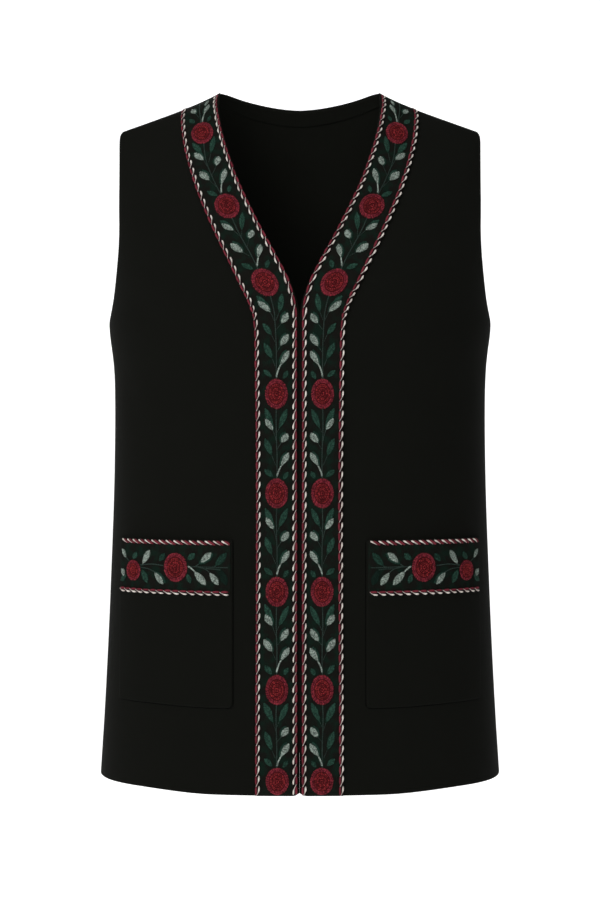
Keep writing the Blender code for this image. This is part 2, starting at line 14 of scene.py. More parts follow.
import bpy
import numpy as np
from numpy.typing import NDArray
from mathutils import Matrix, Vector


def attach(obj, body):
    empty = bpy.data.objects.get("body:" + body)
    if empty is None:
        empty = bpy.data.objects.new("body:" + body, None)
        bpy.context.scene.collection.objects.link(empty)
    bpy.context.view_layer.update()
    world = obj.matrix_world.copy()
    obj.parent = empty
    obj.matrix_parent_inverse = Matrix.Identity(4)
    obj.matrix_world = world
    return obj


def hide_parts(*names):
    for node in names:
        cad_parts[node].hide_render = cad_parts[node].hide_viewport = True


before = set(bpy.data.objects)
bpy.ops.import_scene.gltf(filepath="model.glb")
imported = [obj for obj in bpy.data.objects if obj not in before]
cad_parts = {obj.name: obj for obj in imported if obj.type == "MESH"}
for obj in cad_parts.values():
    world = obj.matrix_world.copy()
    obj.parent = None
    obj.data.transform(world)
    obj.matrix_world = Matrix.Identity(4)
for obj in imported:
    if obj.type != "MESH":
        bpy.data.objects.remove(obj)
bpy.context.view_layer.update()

Array = NDArray[np.float64]
Numbers = Union[float, Array]
Color = tuple[float, float, float]

LOG = logging.getLogger("vest")
BODY = "root"
TINY = 1e-4
CLOTH_SHARP = 75.0  # degrees past which an edge of cloth is sharp


class Side(Enum):
    """The two halves of a section."""

    FRONT = -1
    BACK = 1


class Hand(Enum):
    """The wearer's left is +X."""

    LEFT = 1
    RIGHT = -1

    @property
    def word(self) -> str:
        """The word that ends a piece's name."""
        return self.name.lower()


def unit(vectors: Array) -> Array:
    """Vectors of length one along the last axis."""
    return vectors / np.maximum(np.linalg.norm(vectors, axis=-1, keepdims=True), 1e-12)


def quarter_turn(ahead: Array) -> Array:
    """Flat directions turned to the side."""
    return np.stack([-ahead[..., 1], ahead[..., 0]], -1)


def ease(share: Numbers) -> Array:
    """A smooth step from 0 to 1."""
    t = np.clip(share, 0, 1)
    return t * t * (3 - 2 * t)


def smooth(at: Numbers, stations: Sequence[float], values: Sequence[float]) -> Array:
    """Reads a smooth curve through a table.

    Args:
        at: Where the curve is read, held inside the table.
        stations: Rising places of the table's rows.
        values: Value of each row.

    Returns:
        The value at each place.
    """
    x, y = np.asarray(stations, float), np.asarray(values, float)
    slope = np.gradient(y, x)
    at = np.clip(at, x[0], x[-1])
    i = np.clip(np.searchsorted(x, at, side="right") - 1, 0, len(x) - 2)
    gap = x[i + 1] - x[i]
    t = (at - x[i]) / gap
    step = ease(t)
    bend = t * (1 - t) ** 2 * slope[i] - t * t * (1 - t) * slope[i + 1]
    return (1 - step) * y[i] + step * y[i + 1] + gap * bend


def run_of(points: Array) -> Array:
    """Distance along a line of points, from its first one."""
    return np.concatenate([[0.0], np.cumsum(np.linalg.norm(np.diff(points, axis=0), axis=1))])


# ------------------------------------------------------------------------------------------ worn form
@dataclass(frozen=True)
class Section:
    """One level section of the worn form."""

    drop: float
    half_width: float
    front_depth: float
    back_depth: float
    squareness: float


@dataclass(frozen=True)
class Fold:
    """A soft fold that grows towards the hem; place and width are shares of the way to the side seam."""

    side: Side
    place: float
    width: float
    depth: float
    top: float


@dataclass(frozen=True)
class Crease:
    """A soft trough or ridge along a line on a panel, given by its two ends as (x, drop)."""

    side: Side
    start: tuple[float, float]
    end: tuple[float, float]
    width: float
    depth: float


SECTIONS = (
    Section(0.000, 0.1906, 0.000, 0.000, 2.8),
    Section(0.010, 0.1897, 0.018, 0.020, 2.8),
    Section(0.030, 0.1889, 0.036, 0.041, 2.8),
    Section(0.060, 0.1880, 0.056, 0.064, 2.8),
    Section(0.100, 0.1871, 0.077, 0.084, 2.8),
    Section(0.150, 0.1866, 0.098, 0.098, 2.7),
    Section(0.200, 0.1856, 0.112, 0.104, 2.6),
    Section(0.240, 0.1845, 0.117, 0.104, 2.5),
    Section(0.290, 0.1833, 0.119, 0.101, 2.4),
    Section(0.330, 0.1833, 0.119, 0.097, 2.4),
    Section(0.400, 0.1845, 0.119, 0.094, 2.4),
    Section(0.470, 0.1870, 0.119, 0.097, 2.4),
    Section(0.550, 0.1903, 0.120, 0.104, 2.4),
    Section(0.620, 0.1939, 0.122, 0.110, 2.4),
    Section(0.6790, 0.1976, 0.125, 0.114, 2.4),
)
FOLDS = (
    Fold(Side.BACK, -0.78, 0.10, 0.0026, 0.34),
    Fold(Side.BACK, -0.42, 0.12, 0.0034, 0.40),
    Fold(Side.BACK, -0.05, 0.09, 0.0022, 0.46),
    Fold(Side.BACK, 0.33, 0.13, 0.0030, 0.36),
    Fold(Side.BACK, 0.71, 0.10, 0.0028, 0.42),
)
CREASES = (
    Crease(Side.FRONT, (0.172, 0.205), (0.128, 0.262), 0.0100, -0.0009),
    Crease(Side.FRONT, (0.178, 0.250), (0.140, 0.330), 0.0130, -0.0007),
    Crease(Side.FRONT, (-0.171, 0.200), (-0.122, 0.250), 0.0110, -0.0008),
    Crease(Side.FRONT, (-0.179, 0.262), (-0.146, 0.352), 0.0120, -0.0008),
    Crease(Side.FRONT, (0.150, 0.060), (0.135, 0.150), 0.0120, -0.0006),
    Crease(Side.FRONT, (-0.148, 0.070), (-0.134, 0.145), 0.0120, -0.0006),
    Crease(Side.BACK, (0.160, 0.150), (0.085, 0.235), 0.0130, -0.0014),
    Crease(Side.BACK, (-0.158, 0.140), (-0.092, 0.245), 0.0120, -0.0012),
    Crease(Side.BACK, (0.150, 0.260), (0.070, 0.345), 0.0140, -0.0013),
    Crease(Side.BACK, (-0.140, 0.275), (-0.060, 0.355), 0.0150, -0.0015),
    Crease(Side.BACK, (0.045, 0.300), (-0.040, 0.330), 0.0120, -0.0008),
    Crease(Side.BACK, (-0.020, 0.080), (-0.035, 0.190), 0.0150, -0.0009),
)


@dataclass(frozen=True)
class Form:
    """The outer face of the worn vest, which every piece lies on."""

    length: float = 0.6790
    neck_half: float = 0.0795
    shoulder_slope: float = 0.345
    shoulder_curl: float = 0.0055
    curl_reach: float = 0.022
    slope_reach: float = 0.210
    underarm: float = 0.234
    armhole_straight: float = 0.120
    armhole_share: float = 0.50
    tip_share: float = 0.055
    tip_reach: float = 0.003
    flare: float = 0.0045
    flare_above: float = 0.012
    flare_below: float = 0.022
    flare_power: float = 16.0
    hem_rise: float = 0.0031
    rise_top: float = 0.4500
    rise_from: float = 0.0800
    rise_width: float = 0.0800
    wider: float = 0.0009
    wider_from: float = 0.0900
    wider_reach: float = 0.0700
    seam_root: float = 0.0010

    def section(self, root: Numbers, side: Side) -> tuple[Array, Array, Array]:
        """Half width, depth and squareness of the section at a root."""
        stations = [math.sqrt(s.drop) for s in SECTIONS]
        deep = "front_depth" if side is Side.FRONT else "back_depth"
        half, depth, square = (
            smooth(root, stations, [getattr(s, key) for s in SECTIONS])
            for key in ("half_width", deep, "squareness")
        )
        return half, depth, square

    def ridge(self, x: Numbers) -> Array:
        """Height of the shoulder ridge above the inner end of the shoulder seam."""
        out = np.maximum(np.abs(x) - self.neck_half, 0)
        inwards = np.maximum(self.neck_half - np.abs(x), 0)
        fall = self.shoulder_slope * out + self.shoulder_curl * (1 - np.exp(-out / self.curl_reach))
        slope = self.shoulder_slope + self.shoulder_curl / self.curl_reach
        return slope * inwards * (1 - inwards / (2 * self.neck_half)) - fall

    def height(self, x: Numbers, root: Numbers) -> Array:
        """Height of the face: the drop below the ridge, whose slope dies out on the way down."""
        drop = root * root
        low = ease((drop - self.rise_top) / (self.length - self.rise_top))
        rise = self.hem_rise * low * ease((np.abs(x) - self.rise_from) / self.rise_width)
        return self.ridge(x) * (1 - ease(drop / self.slope_reach)) - drop + rise

    def fold(self, share: Array, root: Array, side: Side) -> Array:
        """How far the folds stand out, at a share of the way to the side seam."""
        out = np.zeros(np.broadcast(share, root).shape)
        for one in FOLDS:
            if one.side is side:
                t = np.clip((root * root - one.top) / (self.length - one.top), 0, 1)
                out = out + one.depth * t * t * np.exp(-(((share - one.place) / one.width) ** 2))
        return out

    def point(self, side: Side, x: Numbers, root: Numbers) -> Array:
        """Points of the face at a distance from the middle plane, without the flare at the side seam."""
        x, root = np.broadcast_arrays(np.asarray(x, float), np.asarray(root, float))
        half, depth, square = self.section(root, side)
        share = np.clip(np.abs(x) / half, 0, 1)
        y = side.value * depth * (1 - share**square) ** (1 / square)
        y = y + side.value * self.fold(x / half, root, side) * (1 - share**self.flare_power)
        return np.stack([x, y, self.height(x, root)], -1)

    def ring(self, side: Side, angle: Array, root: Array) -> Array:
        """Points of the face by the angle round a section: a right angle is at the side seam."""
        half, depth, square = self.section(root, side)
        share = np.abs(np.sin(angle)) ** (2 / square)
        outwards = np.sign(angle)
        x = outwards * half * share
        y = side.value * depth * np.clip(np.cos(angle), 0, 1) ** (2 / square)
        y = y + side.value * self.fold(x / half, root, side) * (1 - share**self.flare_power)
        away = root * root - self.underarm
        flare = self.flare / np.cosh(away / np.where(away < 0, self.flare_above, self.flare_below))
        return np.stack([x + outwards * flare * share**self.flare_power, y, self.height(x, root)], -1)

    def angle_at(self, side: Side, x: Numbers, root: Numbers) -> Array:
        """Angle round the section at which the face is x from the middle plane."""
        half, _, square = self.section(root, side)
        return np.arcsin(np.clip(np.abs(x) / half, 0, 1) ** (square / 2))

    def armhole_angle(self, root: Numbers) -> Array:
        """Angle of the armhole's edge, and of the side seam below the underarm."""
        drop = root * root
        t = np.clip((drop - self.armhole_straight) / (self.underarm - self.armhole_straight), 0, 1)
        share = self.armhole_share * np.sqrt(1 - t * t) + self.tip_share * np.exp(-drop / self.tip_reach)
        square = self.section(root, Side.FRONT)[2]
        return np.where(drop < self.underarm, np.arccos(share ** (square / 2)), math.pi / 2)

    def settled(self, points: Array) -> Array:
        """Lets the side seam at +X hang a little further out than the other one."""
        out = self.wider * ease((points[:, 0] - self.wider_from) / self.wider_reach)
        return points + out[:, None] * np.array([1.0, 0.0, 0.0])

    def slopes(self, side: Side, x: Array, root: Array) -> tuple[Array, Array]:
        """The face's tangents along x and along root."""
        low = np.maximum(root - TINY, 0)
        along_x = (self.point(side, x + TINY, root) - self.point(side, x - TINY, root)) / (2 * TINY)
        step = (root + TINY - low)[..., None]
        return along_x, (self.point(side, x, root + TINY) - self.point(side, x, low)) / step

    def crease(self, side: Side, x: Array, drop: Array) -> Array:
        """How far the creases lift or sink the cloth."""
        out = np.zeros(np.broadcast(x, drop).shape)
        for one in CREASES:
            if one.side is side:
                (x0, d0), (x1, d1) = one.start, one.end
                size = math.hypot(x1 - x0, d1 - d0)
                share = ((x - x0) * (x1 - x0) + (drop - d0) * (d1 - d0)) / size**2
                off = ((x - x0) * (d1 - d0) - (drop - d0) * (x1 - x0)) / size
                ends = np.exp(-((2 * share - 1) ** 4))
                out = out + one.depth * ends * np.exp(-((off / one.width) ** 2))
        return out

    def normal(self, side: Side, x: Array, root: Array) -> Array:
        """Directions straight out of the cloth."""
        along_x, along_root = self.slopes(side, x, root)
        return unit(np.cross(along_x, along_root)) * side.value

    def lifted(self, side: Side, x: Numbers, root: Numbers, lift: Numbers, hand: Hand = Hand.LEFT) -> Array:
        """Points that stand off the creased face.

        Args:
            side: Front or back.
            x: Distance from the middle plane, on the hand's side.
            root: Square root of the drop.
            lift: Distance off the face, negative on its inside.
            hand: RIGHT mirrors the points across the middle plane.

        Returns:
            The points, with a last axis of 3.
        """
        x, root = np.broadcast_arrays(np.asarray(x, float), np.asarray(root, float))
        off = np.asarray(lift) + self.crease(side, x * hand.value, root * root)
        points = self.point(side, x, root) + self.normal(side, x, root) * off[..., None]
        return points * np.array([hand.value, 1, 1])

    def walk(self, side: Side, x: Array, root: Array, way: Array, distance: Numbers) -> tuple[Array, Array]:
        """Goes a distance over the face in one direction and returns where it ends."""
        steps = 6
        for _ in range(steps):
            along_x, along_root = self.slopes(side, x, root)
            xx, rr = np.sum(along_x**2, -1), np.sum(along_root**2, -1)
            xr = np.sum(along_x * along_root, -1)
            dx, dr = np.sum(way * along_x, -1), np.sum(way * along_root, -1)
            det = xx * rr - xr * xr
            move_x, move_root = (rr * dx - xr * dr) / det, (xx * dr - xr * dx) / det
            size = np.linalg.norm(along_x * move_x[..., None] + along_root * move_root[..., None], axis=-1)
            x = x + distance / steps * move_x / size
            root = np.maximum(root + distance / steps * move_root / size, self.seam_root)
        return x, root


FORM = Form()


# ------------------------------------------------------------------------------------------ shaders
class Value:
    """One output socket of a material, on which arithmetic adds Math nodes."""

    def __init__(self, graph: "Graph", socket: bpy.types.NodeSocket) -> None:
        """Keeps the socket and the graph that it belongs to."""
        self.graph = graph
        self.socket = socket

    def _do(self, operation: str, *values: Union["Value", float]) -> "Value":
        """Adds one Math node."""
        return self.graph.node("ShaderNodeMath", {"operation": operation}, dict(enumerate(values)))

    def __add__(self, other: Union["Value", float]) -> "Value":
        """Sum."""
        return self._do("ADD", self, other)

    __radd__ = __add__

    def __mul__(self, other: Union["Value", float]) -> "Value":
        """Product."""
        return self._do("MULTIPLY", self, other)

    __rmul__ = __mul__

    def __sub__(self, other: Union["Value", float]) -> "Value":
        """Difference."""
        return self._do("SUBTRACT", self, other)

    def __rsub__(self, other: float) -> "Value":
        """Difference from a number."""
        return self._do("SUBTRACT", other, self)

    def sine(self) -> "Value":
        """Sine."""
        return self._do("SINE", self)

    def held(self) -> "Value":
        """The value, held between 0 and 1."""
        return self._do("MAXIMUM", self._do("MINIMUM", self, 1.0), 0.0)


class Graph:
    """The nodes of one material."""

    def __init__(self, name: str) -> None:
        """Makes an empty material with a Principled shader."""
        self.material = bpy.data.materials.new(name)
        self.material.use_nodes = True
        self.nodes = self.material.node_tree.nodes
        self.shader = self.nodes["Principled BSDF"]

    def node(self, kind: str, settings: dict[str, Any], inputs: dict[Any, Any], output: Any = 0) -> Value:
        """Adds a node of any type.

        Args:
            kind: The node's type.
            settings: Attributes that are set first.
            inputs: Value or link of each input, by name or number.
            output: Name or number of the output that is wanted.

        Returns:
            That output.
        """
        node = self.nodes.new(kind)
        for key, value in settings.items():
            setattr(node, key, value)
        for key, value in inputs.items():
            self.feed(node.inputs[key], value)
        return Value(self, node.outputs[output])

    def feed(self, socket: bpy.types.NodeSocket, value: Any) -> None:
        """Links a socket, or sets its number or colour."""
        if isinstance(value, Value):
            self.material.node_tree.links.new(value.socket, socket)
        elif isinstance(value, tuple) and socket.type == "RGBA":
            socket.default_value = (*value, 1.0)
        else:
            socket.default_value = value

    def attribute(self, name: str) -> Value:
        """Reads a vector attribute of the mesh."""
        return self.node("ShaderNodeAttribute", {"attribute_name": name}, {}, "Vector")

    def part(self, vector: Value, axis: int) -> Value:
        """One number of a vector."""
        return self.node("ShaderNodeSeparateXYZ", {}, {0: vector}, axis)

    def noise(self, vector: Value, scale: float, detail: float = 2.0) -> Value:
        """Cloudy noise between 0 and 1."""
        return self.node("ShaderNodeTexNoise", {}, {"Vector": vector, "Scale": scale, "Detail": detail})

    def mix(self, share: Union[Value, float], first: Any, second: Any) -> Value:
        """Mixes two colours."""
        settings = {"data_type": "RGBA", "clamp_factor": True}
        return self.node("ShaderNodeMix", settings, {0: share, 6: first, 7: second}, 2)

    def tint(self, color: Any, shade: Value) -> Value:
        """Multiplies a colour by a number."""
        return self.node("ShaderNodeVectorMath", {"operation": "SCALE"}, {0: color, "Scale": shade})

    def bump(self, height: Value, distance: float) -> Value:
        """A normal from a height."""
        return self.node("ShaderNodeBump", {}, {"Height": height, "Distance": distance, "Strength": 1.0})

    def dress(self, **sockets: Any) -> bpy.types.Material:
        """Feeds the shader's sockets, whose names have _ for a space, and returns the material."""
        for name, value in sockets.items():
            self.feed(self.shader.inputs[name.replace("_", " ")], value)
        return self.material


@dataclass(frozen=True)
class WoolFinish:
    """Fine matt black wool, woven in a close twill, with a soft nap; its inner side is painted paler, as
    painted light that lifts the shade inside the vest.
    """

    name: str = "black_wool"
    color: Color = (0.00345, 0.00370, 0.00280)
    worn: Color = (0.00470, 0.00510, 0.00390)
    # painted light: the colour of the cloth's inner side is raised by this factor, to lift the shade inside
    # the vest
    inside: float = 1.38
    roughness: float = 0.90
    specular: float = 0.035
    sheen: float = 0.008
    thread: float = 0.00055
    relief: float = 0.00007

    def material(self) -> bpy.types.Material:
        """Makes the finish."""
        graph = Graph(self.name)
        cloth = graph.attribute("cloth")
        u, v = graph.part(cloth, 0), graph.part(cloth, 1)
        turn = 2 * math.pi / self.thread
        twill = ((u + v) * turn).sine() * 0.6 + ((u - v * 0.35) * turn).sine() * 0.4
        cloud = graph.noise(cloth, 26.0, 3.0)
        nap = graph.noise(cloth, 1900.0, 1.0)
        color = graph.mix(cloud * 0.7 + nap * 0.3, self.color, self.worn)
        # painted light: inner sides, whose cloth fact is 1 or more, are painted paler
        color = graph.tint(color, graph.part(cloth, 2).held() * (self.inside - 1) + 1)
        relief = twill * 0.5 + nap * 0.8 + graph.noise(cloth, 320.0, 2.0) * 0.9
        rough = (cloud * 0.08 + (self.roughness - 0.04)).held()
        material = graph.dress(
            Base_Color=color, Roughness=rough, Specular_IOR_Level=self.specular, Sheen_Weight=self.sheen,
            Sheen_Roughness=0.55, Sheen_Tint=(0.86, 0.92, 0.86), Normal=graph.bump(relief, self.relief),
        )
        return material


@dataclass(frozen=True)
class GroundFinish:
    """The ribbon's ground: black cloth filled with fine stitches, greenish between the leaves."""

    name: str = "ribbon_ground"
    color: Color = (0.0056, 0.0058, 0.0045)
    green: Color = (0.0035, 0.0125, 0.0080)
    roughness: float = 0.85
    pitch: float = 0.0009
    relief: float = 0.00012

    def material(self) -> bpy.types.Material:
        """Makes the finish."""
        graph = Graph(self.name)
        cloth = graph.attribute("cloth")
        u, v = graph.part(cloth, 0), graph.part(cloth, 1)
        rib = (v * (2 * math.pi / self.pitch)).sine()
        cross = ((u + v * 0.2) * (2 * math.pi / (self.pitch * 1.7))).sine()
        cloud = graph.noise(cloth, 110.0, 3.0)
        green = ((cloud - 0.46) * 6.0).held() * 0.75
        fleck = graph.noise(cloth, 1300.0, 1.0)
        color = graph.tint(graph.mix(green, self.color, self.green), fleck * 0.7 + 0.65)
        return graph.dress(
            Base_Color=color, Roughness=self.roughness, Specular_IOR_Level=0.04,
            Normal=graph.bump(rib * 0.6 + cross * 0.4 + fleck, self.relief),
        )


@dataclass(frozen=True)
class ThreadFinish:
    """Embroidery thread: two colours that vary from stitch to stitch, with its filaments in relief."""

    name: str
    dark: Color
    light: Color
    roughness: float = 0.62
    specular: float = 0.05
    sheen: float = 0.0
    speckle: float = 0.0
    filaments: float = 5.0
    relief: float = 0.00010

    def material(self) -> bpy.types.Material:
        """Makes the finish."""
        graph = Graph(self.name)
        thread = graph.attribute("thread")
        along, around, shade = (graph.part(thread, axis) for axis in range(3))
        twist = (around * (2 * math.pi * self.filaments) + along * 5200.0).sine()
        place = graph.node("ShaderNodeTexCoord", {}, {}, "Object")
        fuzz = graph.noise(place, 1500.0, 2.0)
        mixed = (shade * 0.75 + fuzz * 0.5 - 0.12).held()
        color = graph.mix(mixed, self.dark, self.light)
        if self.speckle > 0:
            dots = ((graph.noise(place, 850.0, 1.0) - 0.42) * 7.0).held()
            color = graph.tint(color, dots * self.speckle + (1 - self.speckle))
        return graph.dress(
            Base_Color=color, Roughness=self.roughness, Specular_IOR_Level=self.specular,
            Sheen_Weight=self.sheen, Sheen_Roughness=0.4, Normal=graph.bump(twist + fuzz, self.relief),
        )


WOOL = WoolFinish()
GROUND = GroundFinish()
CRIMSON = ThreadFinish("crimson_thread", (0.052, 0.0052, 0.0098), (0.355, 0.0415, 0.0600), speckle=0.50)
DEEP_RED = ThreadFinish("deep_red_thread", (0.040, 0.0042, 0.0057), (0.455, 0.0435, 0.0495), speckle=0.50)
RED_PAD = ThreadFinish("dark_red_padding", (0.034, 0.0026, 0.0036), (0.062, 0.0046, 0.0066))
PALE = ThreadFinish("pale_leaf_thread", (0.110, 0.145, 0.122), (0.440, 0.530, 0.465), speckle=0.62)
PALE_PAD = ThreadFinish("pale_leaf_padding", (0.085, 0.120, 0.095), (0.130, 0.175, 0.140))
GREEN = ThreadFinish("green_leaf_thread", (0.0070, 0.0180, 0.0130), (0.0370, 0.1100, 0.0760), speckle=0.50)
GREEN_PAD = ThreadFinish("green_leaf_padding", (0.0030, 0.0110, 0.0080), (0.0060, 0.0200, 0.0140))
DEEP = ThreadFinish("deep_green_thread", (0.0050, 0.0150, 0.0105), (0.0240, 0.0740, 0.0510), speckle=0.45)
SHADOW = ThreadFinish("shadow_leaf_thread", (0.0030, 0.0085, 0.0062), (0.0060, 0.0190, 0.0130))
STEM = ThreadFinish("stem_thread", (0.0150, 0.0280, 0.0230), (0.0430, 0.0680, 0.0560))
CORD_WHITE = ThreadFinish("cord_white", (0.260, 0.170, 0.155), (0.850, 0.815, 0.740), filaments=7.0)
CORD_RED = ThreadFinish("cord_crimson", (0.034, 0.0040, 0.0066), (0.180, 0.0255, 0.0385), filaments=7.0)
CORD_CORE = ThreadFinish("cord_core", (0.006, 0.0026, 0.0030), (0.010, 0.0035, 0.0045))
# painted shade: the pocket's edge stitches are darker than the wool, painting the shade in the crease along
# each pocket's edge
EDGE_THREAD_AND_SHADE = ThreadFinish("edge_thread_and_shade", (0.0012, 0.0013, 0.0011), (0.0026, 0.0027, 0.0024), specular=0.02)


class Palette:
    """The materials, each made once when it is first asked for."""

    def __init__(self) -> None:
        """Starts empty."""
        self._made: dict[str, bpy.types.Material] = {}

    def __call__(self, finish: Any) -> bpy.types.Material:
        """The material of a finish."""
        if finish.name not in self._made:
            self._made[finish.name] = finish.material()
        return self._made[finish.name]


PALETTE = Palette()


# ------------------------------------------------------------------------------------------ meshes
class MeshParts:
    """Points and faces that gather into one object."""

    def __init__(self) -> None:
        """Starts empty."""
        self.points: list[Array] = []
        self.facts: list[Array] = []
        self.faces: list[Array] = []
        self.count = 0

    def add(self, points: Array, facts: Array, faces: Sequence[Array], flip: bool = False) -> None:
        """Adds points, a fact vector for each, and faces that number the points from 0."""
        for some in faces:
            self.faces.append((some[:, ::-1] if flip else some) + self.count)
        self.points.append(points.reshape(-1, 3))
        self.facts.append(facts.reshape(-1, 3))
        self.count += len(self.points[-1])

    def build(self, name: str, finish: Any, slot: str, fact: str, sharp: float = 60.0) -> bpy.types.Object:
        """Makes the object.

        Args:
            name: The piece's name.
            finish: What it is dressed in.
            slot: The record's material slot; not used.
            fact: Name of the attribute that holds the fact vectors.
            sharp: Angle in degrees past which an edge is sharp.

        Returns:
            The object, which rides on the vest's body.
        """
        mesh = bpy.data.meshes.new(name)
        points = FORM.settled(np.concatenate(self.points)).astype(np.float32)
        mesh.vertices.add(len(points))
        mesh.vertices.foreach_set("co", points.ravel())
        sizes = np.concatenate([np.full(len(f), f.shape[1]) for f in self.faces])
        corners = np.concatenate([f.ravel() for f in self.faces])
        mesh.loops.add(len(corners))
        mesh.loops.foreach_set("vertex_index", corners.astype(np.int32))
        mesh.polygons.add(len(sizes))
        starts = np.concatenate([[0], np.cumsum(sizes)[:-1]])
        mesh.polygons.foreach_set("loop_start", starts.astype(np.int32))
        mesh.update(calc_edges=True)
        layer = mesh.attributes.new(fact, "FLOAT_VECTOR", "POINT")
        layer.data.foreach_set("vector", np.concatenate(self.facts).astype(np.float32).ravel())
        mesh.shade_smooth()
        mesh.set_sharp_from_angle(angle=math.radians(sharp))
        mesh.materials.append(PALETTE(finish))
        made = bpy.data.objects.new(name, mesh)
        bpy.context.scene.collection.objects.link(made)
        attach(made, BODY)
        return made


def shell_faces(rows: int, columns: int) -> Array:
    """Quads of a closed shell: the points of its outer grid, then those of its inner grid."""
    index = np.arange(rows * columns).reshape(rows, columns)
    a, b, c, d = index[:-1, :-1], index[:-1, 1:], index[1:, 1:], index[1:, :-1]
    outer = np.stack([a, b, c, d], -1).reshape(-1, 4)
    inner = np.stack([a, d, c, b], -1).reshape(-1, 4) + rows * columns
    rim = np.concatenate([index[0, :-1], index[:-1, -1], index[-1, :0:-1], index[:0:-1, 0]])
    after = np.roll(rim, -1)
    sides = np.stack([after, rim, rim + rows * columns, after + rows * columns], -1)
    return np.concatenate([outer, inner, sides])


def cloth_piece(
    name: str, finish: Any, slot: str, walls: tuple[Array, Array], flat: tuple[Array, Array],
    inside: float = 0.0,
) -> bpy.types.Object:
    """Makes a closed shell of cloth, with its places on the flat cloth as its facts.

    Args:
        name: The piece's name.
        finish: What it is dressed in.
        slot: The record's material slot.
        walls: Its outer and its inner grid of points.
        flat: Place of each point on the flat cloth: across, then along.
        inside: 1 if the outer grid already shows the cloth's inner side, which the wool paints paler as
            painted light.

    Returns:
        The object.
    """
    outer, inner = walls
    across, down = outer[0, 1] - outer[0, 0], outer[1, 0] - outer[0, 0]
    flip = float(np.dot(np.cross(across, down), outer[0, 0] - inner[0, 0])) < 0
    points = np.concatenate([outer.reshape(-1, 3), inner.reshape(-1, 3)])
    cloth = np.stack([*flat, np.full_like(flat[0], inside)], -1)
    # the inner wall's fact is 1 higher, so the wool paints it paler as painted light
    facts = np.concatenate([cloth, cloth + np.array([0.0, 0.0, 1.0])]).reshape(-1, 3)
    parts = MeshParts()
    parts.add(points, facts, [shell_faces(*outer.shape[:2])], flip)
    return parts.build(name, finish, slot, "cloth", CLOTH_SHARP)


def ring_quads(sides: int, rings: int) -> list[Array]:
    """Quads between rings of points that are numbered ring after ring."""
    m = np.arange(sides)
    after = (m + 1) % sides
    return [
        np.stack([k * sides + m, k * sides + after, (k + 1) * sides + after, (k + 1) * sides + m], -1)
        for k in range(rings - 1)
    ]


def edge_shares(count: int, near: Sequence[float]) -> Array:
    """Even shares from 0 to 1 with extra ones close to both ends, where an edge is rolled."""
    inside = np.linspace(0, 1, count)[1:-1]
    inside = inside[(inside > near[-1] * 1.6) & (inside < 1 - near[-1] * 1.6)]
    return np.concatenate([near, inside, 1 - np.asarray(near)[::-1]])


def rolled(distance: Array, radius: float) -> Array:
    """How far a face draws back towards the middle of the wall near an edge rolled to this radius."""
    t = np.clip(1 - distance / radius, 0, 1)
    return radius * (1 - np.sqrt(1 - t * t))


def flat_area(points: Array) -> float:
    """Area of a grid of points."""
    a, b, c, d = points[:-1, :-1], points[:-1, 1:], points[1:, 1:], points[1:, :-1]
    halves = np.cross(c - a, d - b)
    return float(np.linalg.norm(halves, axis=-1).sum() / 2)


# ------------------------------------------------------------------------------------------ flat cloth
class Patch:
    """Carries flat places (along, across) onto the worn form, by a close grid of points and normals."""

    PRESSED_SHARE = 0.10

    def __init__(
        self, along: Array, across: Array, points: Array, normals: Array, pressed: float = 0.0
    ) -> None:
        """Keeps an even grid.

        Args:
            along: Rising places of the grid's rows, evenly spaced.
            across: Rising places of its columns, evenly spaced.
            points: The worn place of each.
            normals: The way out of the cloth at each.
            pressed: Length at the start over which a seam presses everything flat.
        """
        self.along, self.across, self.pressed = along, across, pressed
        self.grid = np.concatenate([points, normals], -1)
        side = points[0, 1] - points[0, 0]
        down = points[1, 0] - points[0, 0]
        self.mirrored = float(np.dot(np.cross(down, side), normals[0, 0])) < 0

    def at(self, along: Numbers, across: Numbers, lift: Numbers) -> Array:
        """The worn place of flat places lifted off the cloth."""
        along, across, lift = np.broadcast_arrays(along, across, lift)
        r = (along - self.along[0]) / (self.along[1] - self.along[0])
        c = (across - self.across[0]) / (self.across[1] - self.across[0])
        i = np.clip(np.floor(r).astype(int), 0, len(self.along) - 2)
        j = np.clip(np.floor(c).astype(int), 0, len(self.across) - 2)
        r, c = (r - i)[..., None], (c - j)[..., None]
        near = self.grid[i, j] * (1 - c) + self.grid[i, j + 1] * c
        far = self.grid[i + 1, j] * (1 - c) + self.grid[i + 1, j + 1] * c
        both = near * (1 - r) + far * r
        if self.pressed:
            lift = lift * (self.PRESSED_SHARE + (1 - self.PRESSED_SHARE) * ease(along / self.pressed))
        return both[..., :3] + unit(both[..., 3:]) * lift[..., None]


def ribbon_patch(line: "BandLine", hand: Hand) -> Patch:
    """The patch along a front ribbon: along from the shoulder seam, across towards the side seam."""
    inner_limit, outer_limit, pressed = -0.0240, 0.0290, 0.030
    along = np.linspace(0.0, line.length, 500)
    across = np.linspace(inner_limit, outer_limit, 42)
    x, root = line.places(along[:, None], across[None, :])
    points = FORM.lifted(Side.FRONT, x, root, 0.0, hand)
    normals = FORM.normal(Side.FRONT, x, root) * np.array([hand.value, 1, 1])
    return Patch(along, across, points, normals, pressed=pressed)


@dataclass(frozen=True)
class EdgePoint:
    """A point of the front edge: half the gap between the fronts at a drop."""

    drop: float
    half_gap: float


